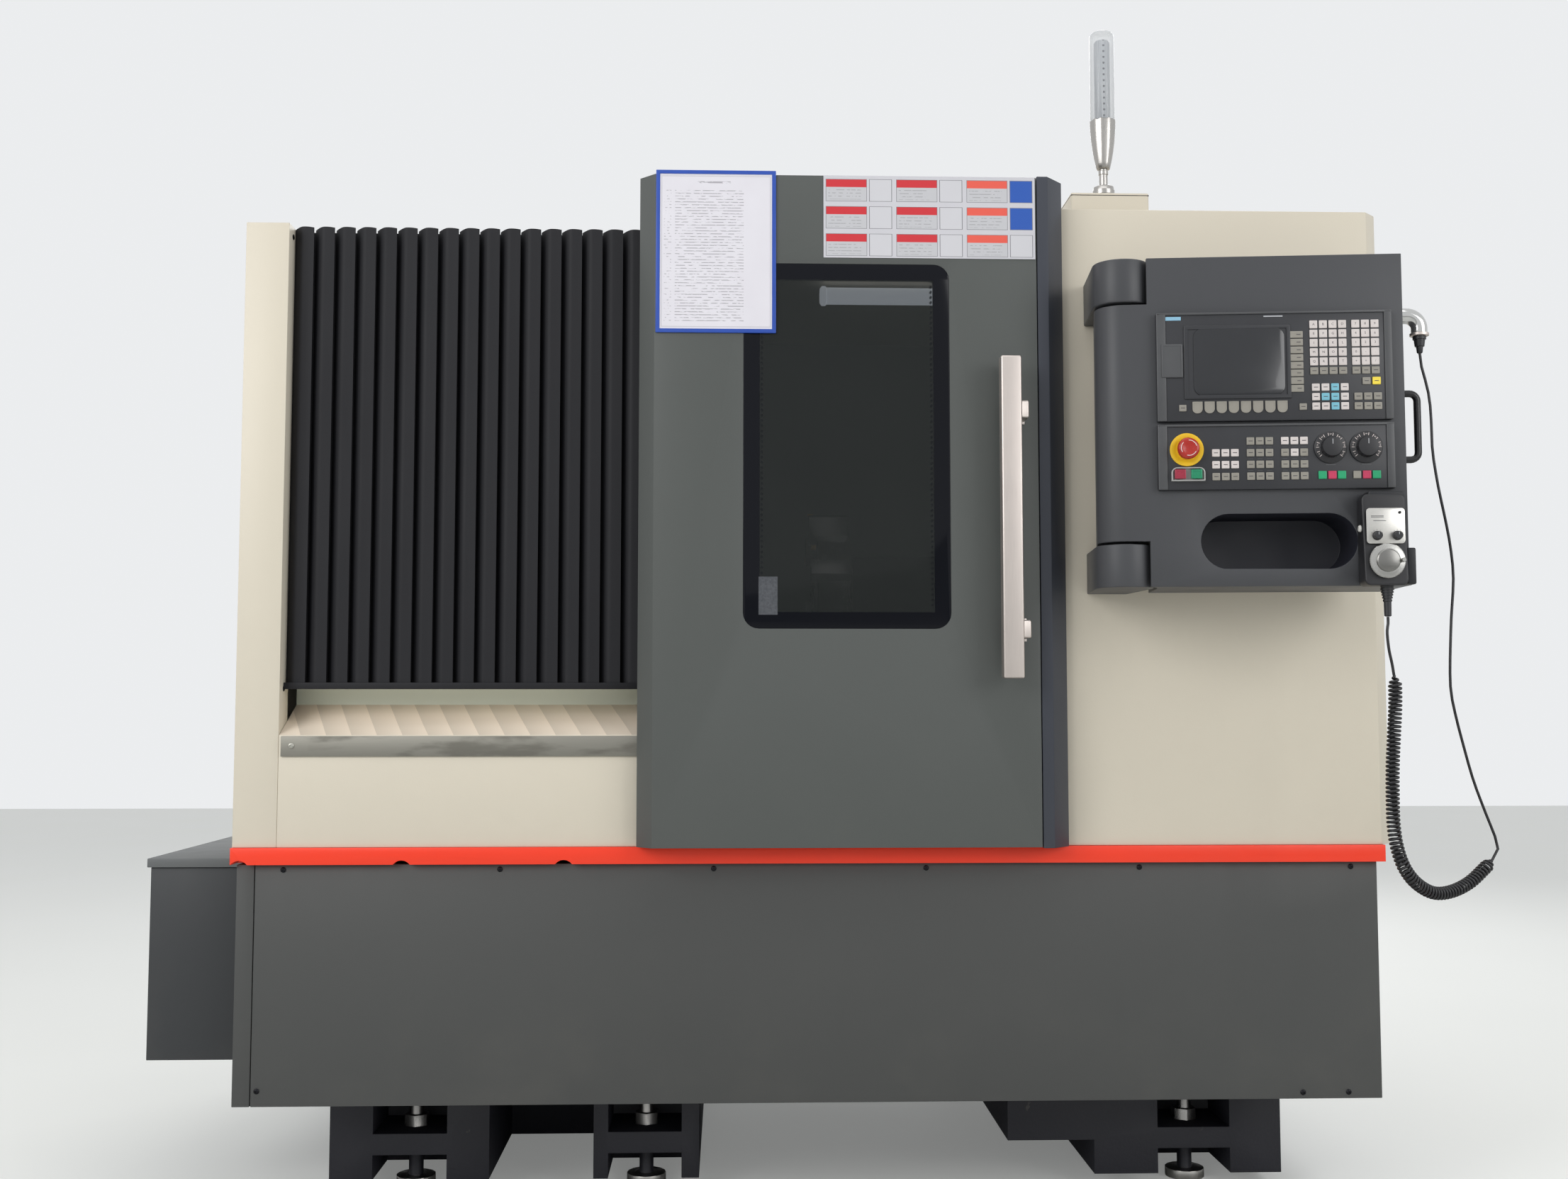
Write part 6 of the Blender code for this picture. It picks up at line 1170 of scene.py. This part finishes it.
# Display: a moulded bezel round a dark glass with rounded corners, two bare pale strips above it, and
# a grey flap over the ports at its left.
display_glass = Finish("display_glass", {"Coat Weight": 0.4, "Coat Roughness": 0.05})
display_haze = display_glass.spots(0.05, 3.0)
display_glass.take({"Base Color": display_glass.mix(display_haze, tone(19, 21, 26), tone(27, 29, 34)),
                    "Roughness": 0.16 + 0.1 * display_haze})
bezel = bar("display_bezel", (0.104, FACE - 0.003, 1.5295), (0.295, FACE + 0.001, 1.6655), 0.0018, 3)
pressed(bezel, in_front, 0.0, 0.004)
pressed(bezel, lambda middle, normal: normal.y < -0.98 and 0.15 < middle.x < 0.25 and 1.56 < middle.z < 1.64,
        -0.0018, 0.0015)
boxed(settled(bezel, "display_bezel", PANEL), unit_dark)
screen = bar("display", (0.1215, FACE - 0.0028, 1.535), (0.2835, FACE - 0.0008, 1.6605), 0.0, 0)
cornered(screen, goes_in, 0.018, 8)
boxed(settled(screen, "display", PANEL), display_glass, (), 0.0006, 2)
flap = bar("port_flap", (0.0636, FACE - 0.004, 1.5698), (0.102, FACE + 0.0005, 1.6315), 0.0015, 3)
pressed(flap, in_front, -0.0004, 0.0022)
boxed(settled(flap, "port_flap", PANEL), unit_wing)
badge_blue = moulded("badge_blue", (142, 190, 216), 0.3, 0.0008, 0.0)
for name, low, high, finish in (("pale_strip", (0.072, 1.6755), (0.1, 1.6822), badge_blue),
                                ("white_strip", (0.248, 1.6795), (0.282, 1.6818), panel_ink)):
    strip = bar(name, (low[0], FACE - 0.0003, low[1]), (high[0], FACE + 0.0002, high[1]), 0.0001, 1)
    boxed(settled(strip, name, PANEL), finish)


# Emergency stop: a red mushroom with a dished top and three curved marks on a yellow disc. Under it, a
# grey housing with round upper corners holds the red and the green button.
stop_yellow = moulded("stop_yellow", (243, 199, 44), 0.32)
STOP = PANEL @ placed(0.1065, FACE, 1.4376, "FRONT")
stop_disc = turned("stop_disc", [
    (-0.0004, 0.0302), (0.0022, 0.0302), (0.003, 0.0294), (0.003, 0.0225), (0.0024, 0.0215),
    (0.0024, 0.0168), (0.0042, 0.0164), (0.0046, 0.0158), (0.0046, 0.013), (-0.0002, 0.013)], 64, STOP)
boxed(stop_disc, stop_yellow)
stop_red = moulded("stop_red", (176, 42, 32), 0.26)
mushroom = turned("stop_mushroom", [
    (0.0052, 0.0125), (0.01, 0.0125), (0.0108, 0.0172), (0.0118, 0.019), (0.015, 0.0196),
    (0.0195, 0.0196), (0.0235, 0.0186), (0.0256, 0.016), (0.0262, 0.013), (0.0254, 0.01),
    (0.0238, 0.005)], 64)
fluted(mushroom, 3, 0.018, 0.011, 0.024)
fitted(settled(mushroom, "stop_mushroom", STOP), "stop_button", [stop_red], ["emergency_stop"])
stop_white = moulded("stop_white", (232, 220, 216), 0.35)
arcs = []
for turn in range(3):
    arc_line = bpy.data.curves.new("stop_arrows", "CURVE")
    arc_line.dimensions = "3D"
    arc_line.bevel_depth = 0.0007
    arc_line.bevel_resolution = 2
    arc_line.use_fill_caps = True
    arc = arc_line.splines.new("POLY")
    arc.points.add(11)
    for number, point in enumerate(arc.points):
        angle = math.radians(120 * turn + 7 * number + 15)
        point.co = (0.0138 * math.cos(angle), 0.0138 * math.sin(angle), 0.0259, 1.0)
    arc_piece = bpy.data.objects.new("stop_arrows", arc_line)
    bpy.context.scene.collection.objects.link(arc_piece)
    alone(arc_piece)
    bpy.ops.object.convert(target="MESH")
    arcs.append(settled(bpy.context.object, "stop_arrows", STOP))
fitted(joined(arcs, "stop_arrows"), "stop_button", [stop_white])
housing_metal = moulded("housing_grey", (168, 168, 166), 0.3)
housing = bar("button_housing", (0.078, FACE - 0.008, 1.3801), (0.138, FACE + 0.0005, 1.4051), 0.0, 0)
cornered(housing, lambda a, b: goes_in(a, b) and a.z > 1.39, 0.01, 6)
pressed(housing, in_front, -0.0074, 0.0022)
boxed(settled(housing, "button_housing", PANEL), housing_metal, (), 0.0008, 2)
start_green = moulded("start_green", (28, 138, 98), 0.25)
press_red = moulded("press_red", (160, 44, 66), 0.25)
for node, body, name, left, finish, slot in (
        ("red_button", "stop_key", "stop_push", 0.0935, press_red, "button_red"),
        ("green_button", "start_key", "start_push", 0.1225, start_green, "button_green")):
    push = bar(name, (left - 0.01, FACE - 0.009, 1.3841), (left + 0.01, FACE - 0.0041, 1.4011), 0.0012, 3)
    pressed(push, in_front, -0.0005, 0.0022)
    fitted(settled(push, name, PANEL), body, [finish], [node])


# Override dials: black moulded knobs with a grip of fine ribs and a white pointer, on skirts that
# carry a scale of short lines and figures.
for node, body, name, left in (("speed_dial", "speed_override", "speed_knob", 0.3615),
                               ("feed_dial", "feed_override", "feed_knob", 0.4243)):
    DIAL = PANEL @ placed(left, FACE - 0.0003, 1.4392, "FRONT")
    knob = turned(name, [
        (0.0, 0.029), (0.0022, 0.029), (0.0034, 0.0276), (0.0038, 0.0202), (0.0046, 0.019),
        (0.0155, 0.0182), (0.0174, 0.0172), (0.018, 0.0152)], 96)
    fluted(knob, 24, 0.02, 0.0044, 0.016)
    fitted(settled(knob, name, DIAL), body, [black_moulded], [node])
    pointer = bar(name + "_pointer", (-0.0006, 0.004, 0.0179), (0.0006, 0.0132, 0.01815), 0.0, 0)
    fitted(settled(pointer, name + "_pointer", DIAL), body, [panel_ink])
    tick = bar("tick", (-0.0005, 0.0212, 0.0035), (0.0005, 0.0262, 0.00385), 0.0, 0)
    scale = copied(tick, name + "_scale", [
        DIAL @ Matrix.Rotation(math.radians(angle), 4, "Z") for angle in range(-130, 131, 20)])
    numbers = [lettered(figure, 0.0036, DIAL @ Matrix.Rotation(math.radians(angle), 4, "Z")
                        @ Matrix.Translation((0.0, 0.0238, 0.0036)))
               for angle, figure in zip(range(120, -121, -40), ("0", "20", "40", "60", "80", "100", "120"))]
    fitted(joined([scale] + numbers, name + "_scale"), body, [stop_white])
    low, high = (left - 0.0085, FACE - 0.0003, 1.4072), (left + 0.0085, FACE + 0.0002, 1.4096)
    label = bar(name + "_label", low, high, 0.0, 0, PANEL)
    boxed(label, unit_wing)


# Cable elbow and grab handle: a bent chrome pipe with a flange and a rubber gland for the cord, and
# a bar of black-coated steel tube to swing the box by.
elbow_steel = bright("elbow_steel", (205, 205, 203), 0.12, (1.0, 1.0, 1.0))
ELBOW_X = 0.5385
bpy.ops.object.select_all(action="DESELECT")
bpy.ops.mesh.primitive_circle_add(vertices=32, radius=0.0145, fill_type="NGON",
                                  location=(0.4986, -0.01, 1.688), rotation=(0.0, math.pi / 2, 0.0))
elbow = settled(bpy.context.object, "elbow_pipe")
bpy.ops.object.mode_set(mode="EDIT")
bpy.ops.mesh.select_all(action="SELECT")
pushed((0.016, 0.0, 0.0))
bpy.ops.mesh.spin(steps=10, angle=-math.pi / 2, center=(0.5146, -0.01, 1.6641), axis=(0.0, 1.0, 0.0))
pushed((0.0, 0.0, -0.01))
bpy.ops.mesh.select_all(action="SELECT")
bpy.ops.mesh.remove_doubles(threshold=0.00001)
bpy.ops.mesh.normals_make_consistent(inside=False)
bpy.ops.object.mode_set(mode="OBJECT")
boxed(settled(elbow, "elbow_pipe", PANEL), elbow_steel, ["cable_elbow"], 0.0006, 2)
for name, steps, place, finish, slot in (
        ("elbow_flange", [(0.0, 0.015), (0.001, 0.017), (0.0052, 0.017), (0.0062, 0.015)],
         placed(ELBOW_X, -0.01, 1.65), pull_metal, "stainless_steel"),
        ("elbow_collar", [(0.0, 0.0168), (0.003, 0.0168), (0.004, 0.0158)],
         placed(0.4983, -0.01, 1.688, "RIGHT"), pull_metal, "stainless_steel"),
        ("elbow_gland", [(0.0, 0.0042), (0.0015, 0.0052), (0.012, 0.0062), (0.0124, 0.0085), (0.025, 0.01),
                         (0.0254, 0.0118), (0.0314, 0.0118)],
         placed(ELBOW_X, -0.01, 1.619), black_moulded, "black_plastic")):
    boxed(turned(name, steps, 32, PANEL @ place), finish)
handle_coat = moulded("handle_coat", (20, 20, 22), 0.28, 0.003, 0.00002)
dressed("box_handle", "grab_bar", [handle_coat], 0.0)
keys("grab_bar_feet", turned("foot", [(0.0, 0.0105), (0.0028, 0.0105), (0.0036, 0.0095)], 24),
     [PANEL @ placed(0.4982, 0.0, z, "RIGHT") for z in (1.424, 1.546)], handle_coat)


# Hand pendant: a black moulded shell in a folded holder, with a brushed plate, two selector knobs, a
# milled handwheel with a peg, a white enable button at its left, and a ribbed strain relief.
shell = bar("pendant_shell", (0.406, -0.1, 1.187), (0.4815, -0.0557, 1.351), 0.0, 0)
cornered(shell, goes_in, 0.011, 6)
for vertex in shell.data.vertices:
    if vertex.co.z > 1.335 and vertex.co.y < -0.09:
        vertex.co.y += 0.012
boxed(settled(shell, "pendant_shell", PANEL), black_moulded, ["pendant_body"], 0.0032, 4)
holder_coat = powder("holder_coat", (40, 41, 44), 0.45, soil=0.04)
for name, low, high, rounding, segments in (
        ("pendant_cradle", (0.43, -0.0575, 1.19), (0.499, -0.0495, 1.255), 0.001, 2),
        ("pendant_cradle_side", (0.4832, -0.086, 1.19), (0.499, -0.05, 1.255), 0.003, 3),
        ("pendant_hook", (0.418, -0.087, 1.34), (0.4815, -0.05, 1.356), 0.003, 3)):
    boxed(bar(name, low, high, rounding, segments, PANEL), holder_coat)
relief_steps = [(0.0, 0.0045), (0.0012, 0.0062), (0.026, 0.0066), (0.0264, 0.0072)]
for rib in range(5):
    foot = 0.027 + rib * 0.005
    relief_steps += [(foot, 0.0078 + rib * 0.001), (foot + 0.0028, 0.008 + rib * 0.001),
                     (foot + 0.003, 0.007 + rib * 0.001), (foot + 0.0048, 0.007 + rib * 0.001)]
relief_steps.append((0.056, 0.0128))
relief = turned("pendant_relief", relief_steps, 32, PANEL @ placed(0.4495, -0.078, 1.1332))
boxed(relief, black_moulded)
plate_metal = bright("pendant_metal", (206, 204, 199), 0.34, (40.0, 1.0, 1.0))
PLATE_FRONT = -0.1008
face_plate = bar("pendant_plate", (0.41, PLATE_FRONT, 1.261), (0.4765, -0.0996, 1.324), 0.0, 0)
cornered(face_plate, goes_in, 0.006, 5)
boxed(settled(face_plate, "pendant_plate", PANEL), plate_metal, (), 0.0003, 2)
for node, body, name, left in (("axis_knob", "axis_selector", "axis_selector_knob", 0.428),
                               ("step_knob", "step_selector", "step_selector_knob", 0.463)):
    SPOT = PANEL @ placed(left, PLATE_FRONT, 1.275, "FRONT")
    knob = turned(name, [
        (0.0003, 0.0084), (0.002, 0.0084), (0.0026, 0.0074), (0.0108, 0.007), (0.0118, 0.006)], 48)
    fluted(knob, 12, 0.03, 0.0022, 0.0112)
    fitted(settled(knob, name, SPOT), body, [black_moulded], [node])
    line_mark = bar(name + "_line", (-0.0005, 0.001, 0.01175), (0.0005, 0.0058, 0.01195), 0.0, 0)
    fitted(settled(line_mark, name + "_line", SPOT), body, [panel_ink])
    tick = bar("tick", (-0.00025, 0.0096, 0.0), (0.00025, 0.0114, 0.0001), 0.0, 0)
    keys(name + "_scale", tick, [
        SPOT @ Matrix.Rotation(math.radians(angle), 4, "Z") for angle in range(-60, 61, 30)], mark_ink)
keys("pendant_lines", bar("mark", (-0.011, -0.0005, 0.0), (0.011, 0.0005, 0.0001), 0.0, 0), [
    PANEL @ placed(x, PLATE_FRONT, z, "FRONT")
    for x, z in ((0.429, 1.31), (0.429, 1.308), (0.433, 1.3015))], unit_wing)
indicator = turned("pendant_indicator", [(0.0, 0.0026), (0.001, 0.0026), (0.0016, 0.0018)], 20,
                   PANEL @ placed(0.468, PLATE_FRONT, 1.316, "FRONT"))
boxed(indicator, holder_coat)
WHEEL = PANEL @ placed(0.4437, -0.1003, 1.2305, "FRONT")
wheel_metal = bright("wheel_metal", (184, 183, 179), 0.26, (1.0, 1.0, 1.0))
hub_metal = bright("hub_metal", (132, 131, 128), 0.34, (1.0, 1.0, 1.0))
wheel = turned("pendant_wheel", [
    (0.0, 0.0288), (0.0004, 0.0306), (0.0012, 0.031), (0.006, 0.031), (0.0078, 0.0296),
    (0.0084, 0.024), (0.009, 0.0208)], 96)
fluted(wheel, 48, 0.008, 0.001, 0.0062)
settled(wheel, "pendant_wheel", WHEEL)
fitted(wheel, "handwheel", [wheel_metal], ["pendant_dial"])
for name, steps, vertices, shift, finish in (
        ("pendant_wheel_hub", [(0.0088, 0.0206), (0.013, 0.0202), (0.0142, 0.0188), (0.0146, 0.018)],
         64, 0.0, hub_metal),
        ("pendant_wheel_peg", [(0.007, 0.0026), (0.011, 0.0026), (0.0114, 0.0038), (0.018, 0.004),
                               (0.0194, 0.003)], 24, 0.0245, wheel_metal)):
    round_piece = turned(name, steps, vertices, WHEEL @ placed(shift, 0.0, 0.0))
    fitted(round_piece, "handwheel", [finish])
enable_white = moulded("enable_white", (234, 232, 226), 0.3)
enable = turned("enable_key", [(-0.003, 0.006), (0.0026, 0.006), (0.0038, 0.005)], 24,
                PANEL @ placed(0.4062, -0.078, 1.29, "LEFT"))
fitted(enable, "enable_switch", [enable_white], ["enable_button"])
